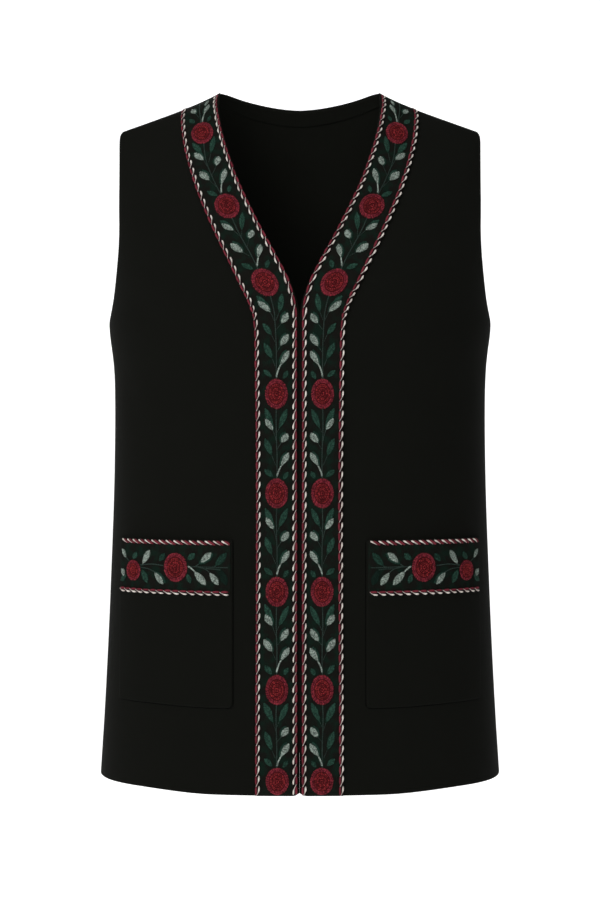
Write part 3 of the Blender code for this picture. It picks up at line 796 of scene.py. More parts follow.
FRONT_EDGE = (
    EdgePoint(0.0000, 0.0795),
    EdgePoint(0.0228, 0.0779),
    EdgePoint(0.0531, 0.0722),
    EdgePoint(0.0817, 0.0641),
    EdgePoint(0.1076, 0.0551),
    EdgePoint(0.1317, 0.0439),
    EdgePoint(0.1542, 0.0319),
    EdgePoint(0.1760, 0.0192),
    EdgePoint(0.1978, 0.0077),
    EdgePoint(0.2090, 0.0040),
    EdgePoint(0.2165, 0.0021),
    EdgePoint(0.2260, 0.0006),
    EdgePoint(0.2360, 0.00003),
    EdgePoint(0.2700, 0.00002),
    EdgePoint(0.6790, 0.00002),
)


def front_edge(root: Numbers) -> Array:
    """Half the gap between the fronts' outlines."""
    return smooth(root, [math.sqrt(p.drop) for p in FRONT_EDGE], [p.half_gap for p in FRONT_EDGE])


def cloth_edge(root: Array) -> Array:
    """Half the gap between the fronts' cloth, which is turned in behind the ribbon along the V neck."""
    drop = root * root
    turned, top, foot, end = 0.0015, 0.0300, 0.1900, 0.2250
    return front_edge(root) + turned * ease(drop / top) * (1 - ease((drop - foot) / (end - foot)))


def corner_cut(distance: Numbers) -> Array:
    """How much the hem is cut up, close to the front edge, at a distance from it."""
    return 0.0026 * np.clip(1 - np.asarray(distance) / 0.0052, 0, 1) ** 1.5


class BandLine:
    """The line that a front ribbon follows, a set distance in from the front edge."""

    def __init__(self, inset: float = 0.0220) -> None:
        """Walks in from the front edge at close steps."""
        self.inset = inset
        root = np.linspace(FORM.seam_root, math.sqrt(FORM.length) - 1e-6, 900)
        x = np.maximum(front_edge(root), 0.0003)
        forward = unit(np.gradient(FORM.point(Side.FRONT, x, root), axis=0))
        across = self._across(x, root, forward)
        x, root = FORM.walk(Side.FRONT, x, root, across, inset)
        keep = np.concatenate([[True], np.diff(root) > 1e-7])
        self.x, self.root = x[keep], root[keep]
        self.run = run_of(FORM.point(Side.FRONT, self.x, self.root))
        self.length = float(self.run[-1])

    @staticmethod
    def _across(x: Array, root: Array, forward: Array) -> Array:
        """Directions over the cloth, square to the line, towards the side seam."""
        across = unit(np.cross(forward, FORM.normal(Side.FRONT, x, root)))
        return across * np.sign(across[..., :1])

    def place(self, run: Array) -> tuple[Array, Array]:
        """Place on the form at these runs along the line."""
        return np.interp(run, self.run, self.x), np.interp(run, self.run, self.root)

    def places(self, run: Array, across: Array) -> tuple[Array, Array]:
        """Places offset from the line."""
        reach = 0.004
        run, across = np.broadcast_arrays(run, across)
        x, root = self.place(run)
        ahead = FORM.point(Side.FRONT, *self.place(np.minimum(run + reach, self.length)))
        behind = FORM.point(Side.FRONT, *self.place(np.maximum(run - reach, 0)))
        way = self._across(x, root, unit(ahead - behind))
        return FORM.walk(Side.FRONT, x, root, way, across)


# ------------------------------------------------------------------------------------------ stitches
class Stitching:
    """Stitches and padding on a patch, gathered by finish."""

    SIDES = 6

    def __init__(self, patch: Patch, base: float) -> None:
        """Keeps the patch and the height of the cloth that is stitched."""
        self.patch = patch
        self.base = base
        self.parts: dict[str, MeshParts] = {}
        self.finishes: dict[str, Any] = {}

    def _parts(self, finish: Any) -> MeshParts:
        """The mesh parts of one finish."""
        self.finishes[finish.name] = finish
        return self.parts.setdefault(finish.name, MeshParts())

    def strands(
        self, finish: "ThreadFinish", path: Array, half: Array, lift: Array, thick: Array, shade: Array
    ) -> None:
        """Adds strands of thread that taper to a point at both ends.

        Args:
            finish: The thread.
            path: Flat places of each strand, as (strand, point, 2).
            half: Half width at each point, as (strand, point).
            lift: Height of the underside over the cloth, as (strand, point).
            thick: Thickness at each point, as (strand, point).
            shade: From 0, dark, to 1, light, for each strand or as (strand, point).
        """
        count, steps = path.shape[:2]
        tone = np.broadcast_to(shade if shade.ndim == 2 else shade[:, None], (count, steps))
        tone = np.concatenate([np.repeat(tone[:, 1:-1], self.SIDES, axis=1), tone[:, [0, -1]]], 1)
        beside = quarter_turn(unit(np.gradient(path, axis=1)))
        run = np.concatenate(
            [np.zeros((count, 1)), np.cumsum(np.linalg.norm(np.diff(path, axis=1), axis=-1), axis=1)], 1
        )
        turn = 2 * math.pi * np.arange(self.SIDES) / self.SIDES
        sideways = (half[:, 1:-1, None] * np.cos(turn))[..., None]
        flat = path[:, 1:-1, None, :] + beside[:, 1:-1, None, :] * sideways
        up = lift[:, 1:-1, None] + thick[:, 1:-1, None] * (0.5 + 0.5 * np.sin(turn))
        flat = np.concatenate([flat.reshape(count, -1, 2), path[:, :1], path[:, -1:]], 1)
        ends = lift[:, [0, -1]] + 0.15 * thick[:, [0, -1]]
        up = np.concatenate([up.reshape(count, -1), ends], 1) + self.base
        rings = steps - 2
        along = np.concatenate([np.repeat(run[:, 1:-1], self.SIDES, axis=1), run[:, [0, -1]]], 1)
        around = np.tile(np.append(np.tile(turn / (2 * math.pi), rings), [0.25, 0.25]), (count, 1))
        facts = np.stack([along, around, tone], -1)
        points = self.patch.at(flat[..., 0], flat[..., 1], up)
        faces = self._strand_faces(count, rings)
        self._parts(finish).add(points, facts, faces, self.patch.mirrored)

    def _strand_faces(self, count: int, rings: int) -> list[Array]:
        """Faces of a number of strands with this many rings."""
        sides, size = self.SIDES, rings * self.SIDES + 2
        m = np.arange(sides)
        after = (m + 1) % sides
        quads = ring_quads(sides, rings)
        last = (rings - 1) * sides
        first_cap = np.stack([np.full(sides, size - 2), after, m], -1)
        last_cap = np.stack([np.full(sides, size - 1), last + m, last + after], -1)
        shift = (np.arange(count) * size)[:, None, None]
        found = [(np.concatenate([first_cap, last_cap])[None] + shift).reshape(-1, 3)]
        if quads:
            found.append((np.concatenate(quads)[None] + shift).reshape(-1, 4))
        return found

    def pad(self, finish: Any, outline: Array, middle: Array, crown: float, rings: int = 4) -> None:
        """Adds low padding under a motif: a dome over an outline, closed underneath."""
        n = len(outline)
        shares = np.linspace(1, 0, rings + 1)[:-1]
        flat = [middle + (outline - middle) * share for share in shares]
        up = [np.full(n, crown * math.sqrt(max(1 - share**2, 0.0))) for share in shares]
        flat = np.concatenate(flat + [middle[None], middle[None]])
        up = np.concatenate(up + [np.array([crown]), np.array([-0.0001])])
        m = np.arange(n)
        after = (m + 1) % n
        quads = ring_quads(n, rings)
        inner = (rings - 1) * n
        top = np.stack([inner + m, inner + after, np.full(n, rings * n)], -1)
        under = np.stack([after, m, np.full(n, rings * n + 1)], -1)
        points = self.patch.at(flat[:, 0], flat[:, 1], up + self.base)
        facts = np.stack([flat[:, 0], flat[:, 1], np.full(len(flat), 0.5)], -1)
        edge = outline - middle
        after_edge = np.roll(edge, -1, axis=0)
        clockwise = float(np.sum(edge[:, 0] * after_edge[:, 1] - edge[:, 1] * after_edge[:, 0])) < 0
        faces = [np.concatenate([top, under])] + ([np.concatenate(quads)] if quads else [])
        self._parts(finish).add(points, facts, faces, self.patch.mirrored != clockwise)

    def build(self, prefix: str, word: str, slot: str) -> list[bpy.types.Object]:
        """Makes one object for each finish."""
        return [
            parts.build(f"{prefix}_{key}_{word}", self.finishes[key], slot, "thread")
            for key, parts in self.parts.items()
        ]


class Shade:
    """Repeatable random numbers for the sewing."""

    def __init__(self, seed: int) -> None:
        """Starts from a seed."""
        self.random = np.random.default_rng(seed)

    def of(self, count: int) -> Array:
        """Shades from 0 to 1."""
        return self.random.uniform(0.0, 1.0, count)

    def about(self, middle: float, spread: float, count: int) -> Array:
        """Numbers close to a middle value."""
        return middle + self.random.uniform(-spread, spread, count)


class LeafKind(Enum):
    """The threads that a leaf and its padding are worked in."""

    PALE = (PALE, PALE_PAD)
    GREEN = (GREEN, GREEN_PAD)
    DEEP = (DEEP, GREEN_PAD)
    SHADOW = (SHADOW, SHADOW)


@dataclass(frozen=True)
class Leaf:
    """A pointed leaf from its base to its tip, as flat places (along, across).

    A tail is the far end of a curved stalk. Behind is the side, 1 or -1, on which a deep green leaf shows
    from behind this one.
    """

    tip: tuple[float, float]
    base: tuple[float, float]
    width: float
    kind: LeafKind
    tail: tuple[float, float] | None = None
    behind: int = 0
    blunt: float = 0.66
    belly: float = 1.30

    def work(self, sewing: Stitching, shade: Shade) -> None:
        """Stitches the leaf in slanting strands over its padding."""
        thread, padding = self.kind.value
        base, tip = np.array(self.base), np.array(self.tip)
        size = float(np.linalg.norm(tip - base))
        ahead = (tip - base) / size
        beside = quarter_turn(ahead)
        if self.behind:
            shift = beside * self.behind * self.width * 0.40
            back = (base + shift * 0.3 - ahead * 0.0008, tip + shift)
            Leaf(tuple(back[1]), tuple(back[0]), self.width * 0.92, LeafKind.DEEP).work(sewing, shade)
        lift = 0.00020 if self.kind is LeafKind.PALE else 0.0

        def place(share: Array, off: Array) -> Array:
            """A flat place by its share of the leaf's length and its distance off the middle vein."""
            return base + ahead * (share * size)[..., None] + beside * off[..., None]

        def half(share: Array) -> Array:
            """Half width of the leaf."""
            return self.width / 2 * np.sin(math.pi * np.clip(share, 0, 1) ** self.belly) ** self.blunt

        way = np.concatenate([np.linspace(0.0, 1.0, 9), np.linspace(1.0, 0.0, 9)[1:-1]])
        sign = np.concatenate([np.ones(9), -np.ones(7)])
        outline = place(way, sign * half(way) * 0.90)
        sewing.pad(padding, outline, place(np.array(0.45), np.array(0.0)), lift + 0.00035, 3)
        pitch, slant, steps = 0.00080, 0.24, np.array([0.0, 0.3, 0.7, 1.0])
        count = max(int(size / pitch), 6)
        start = np.linspace(-0.04, 0.93, count)
        fade = np.array([0.45, 0.85, 0.95, 0.30]) if self.kind is not LeafKind.PALE else np.ones(4)
        for side in (-1, 1):
            begin = np.clip(start + shade.about(0.0, 0.012, count), 0, 1)
            end = np.clip(begin + slant * (1 - 0.35 * begin), 0.02, 1.0)
            share = begin[:, None] + (end - begin)[:, None] * steps
            reach = half(end) * shade.about(0.99, 0.08, count)
            path = place(share, side * (reach[:, None] * steps - self.width * 0.10 * (1 - steps)))
            rise = lift + 0.00020 + 0.00018 * np.sin(math.pi * np.clip(steps, 0.1, 0.85))
            lit = 0.55 + 0.45 * np.sqrt(np.clip(share, 0, 1))
            tone = (shade.of(count) * 0.8 + 0.2)[:, None] * fade * lit
            flat = np.ones((count, 4))
            sewing.strands(thread, path, flat * pitch * 0.55, flat * rise, flat * 0.00045, tone)
        if self.tail is not None:
            self._work_tail(sewing, thread, shade, lift)

    def _work_tail(self, sewing: Stitching, thread: ThreadFinish, shade: Shade, lift: float) -> None:
        """Stitches the curved stalk that runs on from the leaf's base."""
        base, tip, end = np.array(self.base), np.array(self.tip), np.array(self.tail)
        start = base + (tip - base) * 0.10
        bend = base + (base - tip) / np.linalg.norm(base - tip) * np.linalg.norm(end - base) * 0.45
        share = np.linspace(0, 1, 9)[:, None]
        curve = (1 - share) ** 2 * start + 2 * share * (1 - share) * bend + share**2 * end
        ahead = unit(np.gradient(curve, axis=0))
        beside = quarter_turn(ahead)
        for off in (-0.00040, 0.00040):
            path = (curve + beside * off * (0.60 + 0.40 * share))[None]
            flat = np.ones((1, 9))
            sewing.strands(thread, path, flat * 0.00038, flat * lift, flat * 0.0007, 0.6 + 0.4 * shade.of(1))


@dataclass(frozen=True)
class Rose:
    """A rose: a rim of short stitches laid outwards, and rings of chain stitch inside it."""

    middle: tuple[float, float]
    half: tuple[float, float]
    lean: float = 0.0
    crown: float = 0.00105
    rim_inside: float = 0.70
    rings: tuple[float, ...] = (0.61, 0.51, 0.36, 0.26, 0.11)

    def _spots(self, angle: Array, share: Array) -> Array:
        """Flat places by the angle round the middle and the share of the half size."""
        along = np.cos(angle) * self.half[0] * share
        across = np.sin(angle) * self.half[1] * share
        cos, sin = math.cos(self.lean), math.sin(self.lean)
        return np.array(self.middle) + np.stack([along * cos - across * sin, along * sin + across * cos], -1)

    def work(self, sewing: Stitching, shade: Shade) -> None:
        """Stitches the rose over its padding."""
        turn = np.linspace(0, 2 * math.pi, 41)[:-1]
        wobble = 0.95 * (1 + 0.012 * np.sin(5 * turn + shade.of(1)[0] * 6))
        sewing.pad(RED_PAD, self._spots(turn, wobble), np.array(self.middle), self.crown, 6)
        self._rim(sewing, shade)
        for ring in self.rings:
            self._chain(sewing, shade, ring)

    def _rim(self, sewing: Stitching, shade: Shade) -> None:
        """The outer petals: two rows of slanted stitches over the edge of the padding."""
        steps = np.array([0.0, 0.33, 0.67, 1.0])
        for low, high in ((self.rim_inside, 0.87), (0.83, 1.02)):
            count = int(math.pi * sum(self.half) * (low + high) / 2 / 0.00098)
            turn = 2 * math.pi * (np.arange(count) + shade.about(0, 0.22, count)) / count
            share = low + (shade.about(high, 0.022, count) - low)[:, None] * steps
            path = self._spots(turn[:, None] + 0.085 * steps, share)
            rise = self.crown * np.sqrt(np.clip(1 - (share * 0.97) ** 2, 0.0, 1)) - 0.0001
            flat = np.ones_like(share)
            tone = shade.of(count) ** 0.8
            sewing.strands(CRIMSON, path, flat * 0.00046, rise, flat * 0.00060, tone)

    def _chain(self, sewing: Stitching, shade: Shade, share: float) -> None:
        """One ring of chain stitch."""
        radius = share * sum(self.half) / 2
        count = max(int(2 * math.pi * radius / 0.00205), 4)
        turn = 2 * math.pi * (np.arange(count) + shade.of(1)[0]) / count
        steps = np.array([0.0, 0.35, 0.70, 1.0])
        span = 2 * math.pi / count * 1.08
        tone = shade.of(count)
        for lean in (-1, 1):
            bulge = 1 + lean * 0.00028 / radius * np.sin(math.pi * steps)
            path = self._spots(turn[:, None] + span * steps, share * np.tile(bulge, (count, 1)))
            flat = np.ones((count, 4))
            rise = flat * (self.crown * math.sqrt(1 - share**2) - 0.00008)
            thick = np.array([0.0004, 0.0007, 0.0007, 0.0004])
            sewing.strands(DEEP_RED, path, flat * 0.00033, rise, flat * thick, tone)


@dataclass(frozen=True)
class Stem:
    """Thin lines of stem stitch through flat places; a gap above zero sets the stitches apart."""

    places: tuple[tuple[float, float], ...]
    lines: tuple[float, ...] = (-0.00022, 0.00026)
    half: float = 0.00027
    stitch: float = 0.0026
    gap: float = -0.0007
    finish: ThreadFinish = STEM

    def work(self, sewing: Stitching, shade: Shade) -> None:
        """Stitches the lines in short strands."""
        spots = np.array(self.places)
        run = run_of(spots)
        fine = np.linspace(0, run[-1], 20 * len(spots))
        line = np.stack([smooth(fine, run, spots[:, k]) for k in range(2)], -1)
        run = run_of(line)
        ahead = unit(np.gradient(line, axis=0))
        beside = quarter_turn(ahead)
        steps = np.array([0.0, 0.33, 0.67, 1.0])
        count = max(int(run[-1] / (self.stitch + self.gap)), 1)
        start = np.linspace(0, max(run[-1] - self.stitch, 0.0), count)
        at = start[:, None] + self.stitch * steps
        for off in self.lines:
            sideways = (off + (0.00012 if self.gap < 0 else 0.0) * (steps - 0.5))[:, None]
            way = np.stack([np.interp(at, run, line[:, k]) for k in range(2)], -1)
            way = way + np.stack([np.interp(at, run, beside[:, k]) for k in range(2)], -1) * sideways
            flat = np.ones((count, 4))
            sewing.strands(self.finish, way, flat * self.half, flat * 0.0, flat * 0.00045, shade.of(count))


# ------------------------------------------------------------------------------------------ cords
@dataclass(frozen=True)
class PlyPoint:
    """A point of one ply: at in pitches, off and half in millimetres, lift and thick as shares of height."""

    at: float
    off: float
    half: float
    lift: float
    thick: float


@dataclass(frozen=True)
class Twist:
    """How the white and the crimson ply of a cord cross in each pitch."""

    white: tuple[PlyPoint, ...]
    red: tuple[PlyPoint, ...]


LENS = Twist(
    white=(
        PlyPoint(0.04, 1.50, 0.14, 0.10, 0.40),
        PlyPoint(0.14, 1.52, 0.66, 0.12, 0.85),
        PlyPoint(0.28, 1.50, 0.94, 0.15, 1.00),
        PlyPoint(0.44, 1.38, 0.96, 0.18, 1.00),
        PlyPoint(0.58, 1.08, 0.74, 0.25, 0.85),
        PlyPoint(0.72, 0.56, 0.44, 0.45, 0.55),
        PlyPoint(0.88, -0.20, 0.36, 0.72, 0.35),
        PlyPoint(1.04, -1.05, 0.40, 0.75, 0.35),
        PlyPoint(1.18, -1.80, 0.36, 0.55, 0.30),
    ),
    red=(
        PlyPoint(0.04, -1.36, 0.36, 0.05, 0.42),
        PlyPoint(0.18, -1.44, 0.86, 0.10, 0.75),
        PlyPoint(0.36, -1.48, 1.08, 0.14, 0.92),
        PlyPoint(0.60, -1.45, 1.08, 0.14, 0.92),
        PlyPoint(0.82, -1.32, 0.98, 0.12, 0.80),
        PlyPoint(0.98, -1.06, 0.66, 0.10, 0.60),
        PlyPoint(1.10, -0.66, 0.26, 0.08, 0.40),
    ),
)
ROPE = Twist(
    white=(
        PlyPoint(0.02, -2.35, 0.30, 0.10, 0.45),
        PlyPoint(0.14, -1.75, 0.80, 0.30, 0.75),
        PlyPoint(0.30, -1.00, 0.88, 0.50, 0.62),
        PlyPoint(0.48, -0.10, 0.62, 0.62, 0.45),
        PlyPoint(0.66, 0.80, 0.46, 0.55, 0.40),
        PlyPoint(0.82, 1.60, 0.40, 0.35, 0.38),
        PlyPoint(0.96, 2.25, 0.22, 0.10, 0.30),
    ),
    red=(
        PlyPoint(0.38, -2.20, 0.40, 0.05, 0.45),
        PlyPoint(0.50, -1.70, 1.00, 0.20, 0.75),
        PlyPoint(0.68, -0.85, 1.10, 0.35, 0.70),
        PlyPoint(0.88, 0.10, 1.10, 0.40, 0.65),
        PlyPoint(1.06, 1.05, 1.10, 0.30, 0.70),
        PlyPoint(1.24, 1.80, 0.85, 0.15, 0.65),
        PlyPoint(1.36, 2.20, 0.35, 0.05, 0.40),
    ),
)


@dataclass(frozen=True)
class Cord:
    """A two-colour cord couched along a line of flat places.

    White_side is 1 where the white ply lies to the side of the line that Stitching calls beside, and -1 on
    the other. A turned cord is the same one, laid the other way round.
    """

    line: Array
    twist: Twist
    white_side: int
    turned: bool
    pitch: float = 0.0095
    height: float = 0.0021

    def _ply(self, sewing: Stitching, shade: Shade, finish: ThreadFinish, rows: Sequence[PlyPoint]) -> None:
        """Lays one ply, a strand in each pitch."""
        run = run_of(self.line)
        ahead = unit(np.gradient(self.line, axis=0))
        beside = quarter_turn(ahead)
        count = int(round(run[-1] / self.pitch))
        pitch = run[-1] / count
        at, off, half, lift, thick = (
            np.array([getattr(row, name) for row in rows]) for name in ("at", "off", "half", "lift", "thick")
        )
        where = at * pitch
        start = (np.arange(count) * pitch + shade.about(0, 0.00025, count))[:, None]
        spot = np.clip(start + (pitch - where if self.turned else where), 0.0002, run[-1] - 0.0002)
        sideways = off * 0.00092 * self.white_side * shade.about(1.0, 0.05, count)[:, None]
        way = np.stack([np.interp(spot, run, self.line[:, k]) for k in range(2)], -1)
        way = way + np.stack([np.interp(spot, run, beside[:, k]) for k in range(2)], -1) * sideways[..., None]
        wide = half * 0.00088 * shade.about(1.0, 0.07, count)[:, None]
        flat = np.ones((count, len(rows)))
        tone = (0.55 + 0.45 * shade.of(count))[:, None] * (0.25 + 0.85 * half / half.max())
        sewing.strands(finish, way, wide, flat * lift * self.height, flat * thick * self.height, tone)

    def work(self, sewing: Stitching, shade: Shade) -> None:
        """Lays the dark core, the crimson ply and the white ply over it."""
        core = self.line[::4][None]
        flat = np.ones(core.shape[:2])
        sewing.strands(CORD_CORE, core, flat * 0.0018, flat * 0.0, flat * self.height * 0.45, np.array([0.5]))
        self._ply(sewing, shade, CORD_RED, self.twist.red)
        self._ply(sewing, shade, CORD_WHITE, self.twist.white)


# ------------------------------------------------------------------------------------------ pieces
@dataclass
class Cloth:
    """The three black panels, the facing inside the back's neckline and the side seams' allowances."""

    wall: float = 0.0016
    seam: float = 0.0003
    columns: int = 56
    upper_rows: int = 60
    lower_rows: int = 100
    neck_drop: float = 0.0316
    neck_power: float = 1.85
    neck_fullness: float = 0.0012
    fullness_reach: float = 0.0070
    facing_width: float = 0.0170
    facing_wall: float = 0.0007
    facing_gap: float = 0.0002
    facing_edge: float = 0.0012
    allowance_wall: float = 0.0005
    neck_columns: int = 27
    level_root: float = 0.30

    def _roots(self, top: float) -> Array:
        """Rows from a starting root to the hem."""
        under = math.sqrt(FORM.underarm)
        upper = top + (under - top) * edge_shares(self.upper_rows, (0.0, 0.0025, 0.006, 0.011))
        hem = math.sqrt(FORM.length)
        lower = under + (hem - under) * np.linspace(0, 1, self.lower_rows)[1:-2]
        close = np.sqrt(FORM.length - np.array([0.0020, 0.0011, 0.0005, 0.0]))
        return np.concatenate([upper, lower, close])

    def _angles(self, side: Side, starts: Array, roots: Array, shares: Array) -> Array:
        """Angles of a panel's points, evenly spread along each row between its two edges."""
        rows = []
        for start, root in zip(starts, roots):
            fine = np.linspace(start, float(FORM.armhole_angle(root)), 260)
            run = run_of(FORM.ring(side, fine, np.full_like(fine, root)))
            trim = self.seam / 2 if root * root > FORM.underarm - 1e-6 else 0.0
            rows.append(np.interp(shares * (run[-1] - trim), run, fine))
        return np.array(rows)

    def _walls(self, side: Side, angles: Array, roots: Array, mirror: Array) -> tuple[Array, Array, Array]:
        """Outer points, inner points and outward normals of a grid."""
        outer = FORM.ring(side, angles, roots)
        nudge = 1e-3
        wide = np.clip(np.abs(angles), 0, math.pi / 2 - nudge) * np.sign(angles + 1e-9)
        low = np.maximum(roots - TINY, 0)
        round_it = FORM.ring(side, wide + nudge, roots) - FORM.ring(side, wide - nudge, roots)
        down = FORM.ring(side, wide, roots + TINY) - FORM.ring(side, wide, low)
        normal = unit(np.cross(round_it, down)) * side.value
        crease = FORM.crease(side, outer[..., 0] * mirror[0], roots**2)
        outer = (outer + normal * crease[..., None]) * mirror
        normal = normal * mirror
        return outer, outer - normal * self.wall, normal

    def _shell(self, name: str, side: Side, angles: Array, roots: Array, mirror: Array) -> Array:
        """Makes one panel as a closed shell with rolled edges, and returns its inner points."""
        outer, inner, normal = self._walls(side, angles, roots, mirror)
        inset = np.minimum(self._edge_distance(outer, 0), self._edge_distance(outer, 1))
        draw = rolled(inset, self.wall * 0.62)[..., None] * normal
        across = self._runs(outer, 1)
        along = self._runs(outer, 0)
        along = np.repeat(along[:, along.shape[1] // 2][:, None], outer.shape[1], axis=1)
        walls = (outer - draw, inner + draw)
        piece = cloth_piece(name + "_cloth", WOOL, "vest_cloth", walls, (across, along))
        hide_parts(name)
        width, length = float(across.max()), float(along.max())
        min(flat_area(outer), width * length)
        LOG.info("%s: %d points", piece.name, len(piece.data.vertices))
        return inner

    @staticmethod
    def _runs(points: Array, axis: int) -> Array:
        """Distance over the cloth from the edge that starts an axis."""
        run = np.cumsum(np.linalg.norm(np.diff(points, axis=axis), axis=-1), axis=axis)
        return np.concatenate([np.zeros_like(np.take(run, [0], axis=axis)), run], axis=axis)

    def _edge_distance(self, points: Array, axis: int) -> Array:
        """Distance over the cloth to the nearer of the two edges that end an axis."""
        run = self._runs(points, axis)
        return np.minimum(run, np.take(run, [-1], axis=axis) - run)

    def fronts(self) -> dict[Hand, Array]:
        """Makes the two fronts, and returns the inner points of each."""
        rows = self._roots(FORM.seam_root)
        starts = FORM.angle_at(Side.FRONT, cloth_edge(rows), rows)
        shares = edge_shares(self.columns, (0.0, 0.003, 0.007, 0.013))
        angles = self._angles(Side.FRONT, starts, rows, shares)
        roots = np.repeat(rows[:, None], len(shares), axis=1)
        x = FORM.ring(Side.FRONT, angles, roots)[..., 0]
        cut = corner_cut(x) * np.clip(1 - (FORM.length - roots**2) / 0.030, 0, 1) ** 2
        roots = np.sqrt(roots**2 - cut)
        return {
            hand: self._shell(f"front_{hand.word}", Side.FRONT, angles, roots, np.array([hand.value, 1, 1]))
            for hand in Hand
        }

    def _neck_root(self, share: float) -> float:
        """Root at which the back's column at a share of the half girth starts."""
        low, high = FORM.seam_root, math.sqrt(self.neck_drop) + 0.01
        for _ in range(36):
            root = (low + high) / 2
            angles = self._angles(Side.BACK, np.zeros(1), np.array([root]), np.array([share]))
            x = float(FORM.ring(Side.BACK, angles, np.array([[root]]))[0, 0, 0])
            neckline = self.neck_drop * (1 - min(abs(x) / FORM.neck_half, 1) ** self.neck_power)
            away = max(FORM.neck_half - abs(x), 0) / self.fullness_reach
            neckline -= self.neck_fullness * away * math.exp(1 - away)
            low, high = (root, high) if root * root < neckline else (low, root)
        return max(high, FORM.seam_root)

    def back(self) -> Array:
        """Makes the back, whose rows turn from the neckline to level, and returns its inner points."""
        tip = float(FORM.ring(Side.BACK, FORM.armhole_angle(FORM.seam_root), np.array(FORM.seam_root))[0])
        corner = FORM.neck_half / tip
        outside = corner + (1 - corner) * edge_shares(30, (0.0, 0.006, 0.013, 0.022))[1:]
        half = np.concatenate([np.linspace(0, corner, self.neck_columns), outside])
        rows = self._roots(FORM.seam_root)
        level = rows[rows > self.level_root]
        upper = edge_shares(len(rows) - len(level), (0.0, 0.004, 0.010, 0.020))
        upper = upper[upper < 0.985]
        columns = []
        for share in half:
            top = self._neck_root(float(share))
            columns.append(np.concatenate([top + (level[0] - top) * upper, level]))
        roots = np.array(columns).T
        angles = self._back_angles(roots, half)
        angles = np.concatenate([-angles[:, :0:-1], angles], 1)
        roots = np.concatenate([roots[:, :0:-1], roots], 1)
        inner = self._shell("back", Side.BACK, angles, roots, np.array([1, 1, 1]))
        self._facing(inner, len(half) - 1)
        return inner

    def _back_angles(self, roots: Array, shares: Array) -> Array:
        """Angles of the back's grid: each point lies at its share of its own section's girth."""
        close = np.linspace(FORM.seam_root, roots.max(), 160)
        known = np.unique(np.concatenate([roots.ravel()[::7], close]))
        fine = np.linspace(0, 1, 200)
        table = self._angles(Side.BACK, np.zeros(len(known)), known, fine)
        angles = np.empty_like(roots)
        for column, share in enumerate(shares):
            line = np.array([np.interp(share, fine, row) for row in table])
            angles[:, column] = np.interp(roots[:, column], known, line)
        return angles

    def _facing(self, wall: Array, middle: int) -> None:
        """Makes the facing from the back's own inner points."""
        reach = self.neck_columns - 1
        strip = wall[:24, middle - reach : middle + reach + 1]
        stops = self.facing_edge + self.facing_width * edge_shares(9, (0.0, 0.05))
        columns = []
        for column in range(strip.shape[1]):
            line = strip[:, column]
            run = run_of(line)
            columns.append(np.stack([np.interp(stops, run, line[:, k]) for k in range(3)], -1))
        grid = np.stack(columns, 1)
        inwards = unit(np.cross(np.gradient(grid, axis=0), np.gradient(grid, axis=1)))
        inwards *= -np.sign(inwards[..., 1:2])
        inset = np.minimum(self._edge_distance(grid, 0), self._edge_distance(grid, 1))
        draw = rolled(inset, self.facing_wall * 0.5)[..., None]
        outer = grid + inwards * (self.facing_gap + self.facing_wall - draw)
        back = grid + inwards * (self.facing_gap + draw * 0.5)
        along, down = self._runs(grid, 1), self._runs(grid, 0)
        # painted light: the facing shows the cloth's inner side, so the wool paints it paler
        piece = cloth_piece("neck_facing_cloth", WOOL, "vest_cloth", (outer, back), (along, down), 1.0)
        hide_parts("neck_facing")

    def _allowance(self, hand: Hand, front: Array, back: Array) -> None:
        """Makes a side seam's allowances, pressed open inside, from the last points of both panels."""
        rows = slice(-self.lower_rows, -2)
        behind = back[rows, -5:][:, ::-1] if hand is Hand.LEFT else back[rows, :5]
        grid = np.concatenate([front[rows, -5:], behind], 1)
        inwards = unit(np.cross(np.gradient(grid, axis=0), np.gradient(grid, axis=1)))
        inwards *= -np.sign(inwards[..., :1]) * hand.value
        inset = np.minimum(self._edge_distance(grid, 0), self._edge_distance(grid, 1))
        draw = rolled(inset, self.allowance_wall * 0.5)[..., None]
        face = grid + inwards * (self.facing_gap + self.allowance_wall - draw)
        walls = (face, grid + inwards * self.facing_gap)
        across, down = self._runs(grid, 1), self._runs(grid, 0)
        name = f"side_seam_{hand.word}_cloth"
        # painted light: the allowances show the cloth's inner side, so the wool paints them paler
        piece = cloth_piece(name, WOOL, "vest_cloth", walls, (across, down), 1.0)

    def build(self) -> None:
        """Makes all the black panels."""
        fronts, back = self.fronts(), self.back()
        for hand in Hand:
            self._allowance(hand, fronts[hand], back)


@dataclass(frozen=True)
class CordPlace:
    """How far a cord lies off the ribbon's line at a run along it."""

    run: float
    across: float


@dataclass(frozen=True)
class RoseSpot:
    """A rose on a front ribbon: its run, its place off the ribbon's middle, its half sizes and its lean."""

    run: float
    across: float
    half_along: float
    half_across: float
    lean: float = 0.0


@dataclass(frozen=True)
class SprigRow:
    """One leaf between two roses, in millimetres from the upper rose along the ribbon's middle."""

    tip: tuple[float, float]
    base: tuple[float, float]
    width: float
    kind: LeafKind
    tail: tuple[float, float] | None = None
    stalk: tuple[float, float] | None = None


@dataclass(frozen=True)
class Sprig:
    """The leaves of one sprig and how far its stem sways outwards, for roses 93 mm apart."""

    rows: tuple[SprigRow, ...]
    sway: float = 0.0
    spacing: float = 0.0930


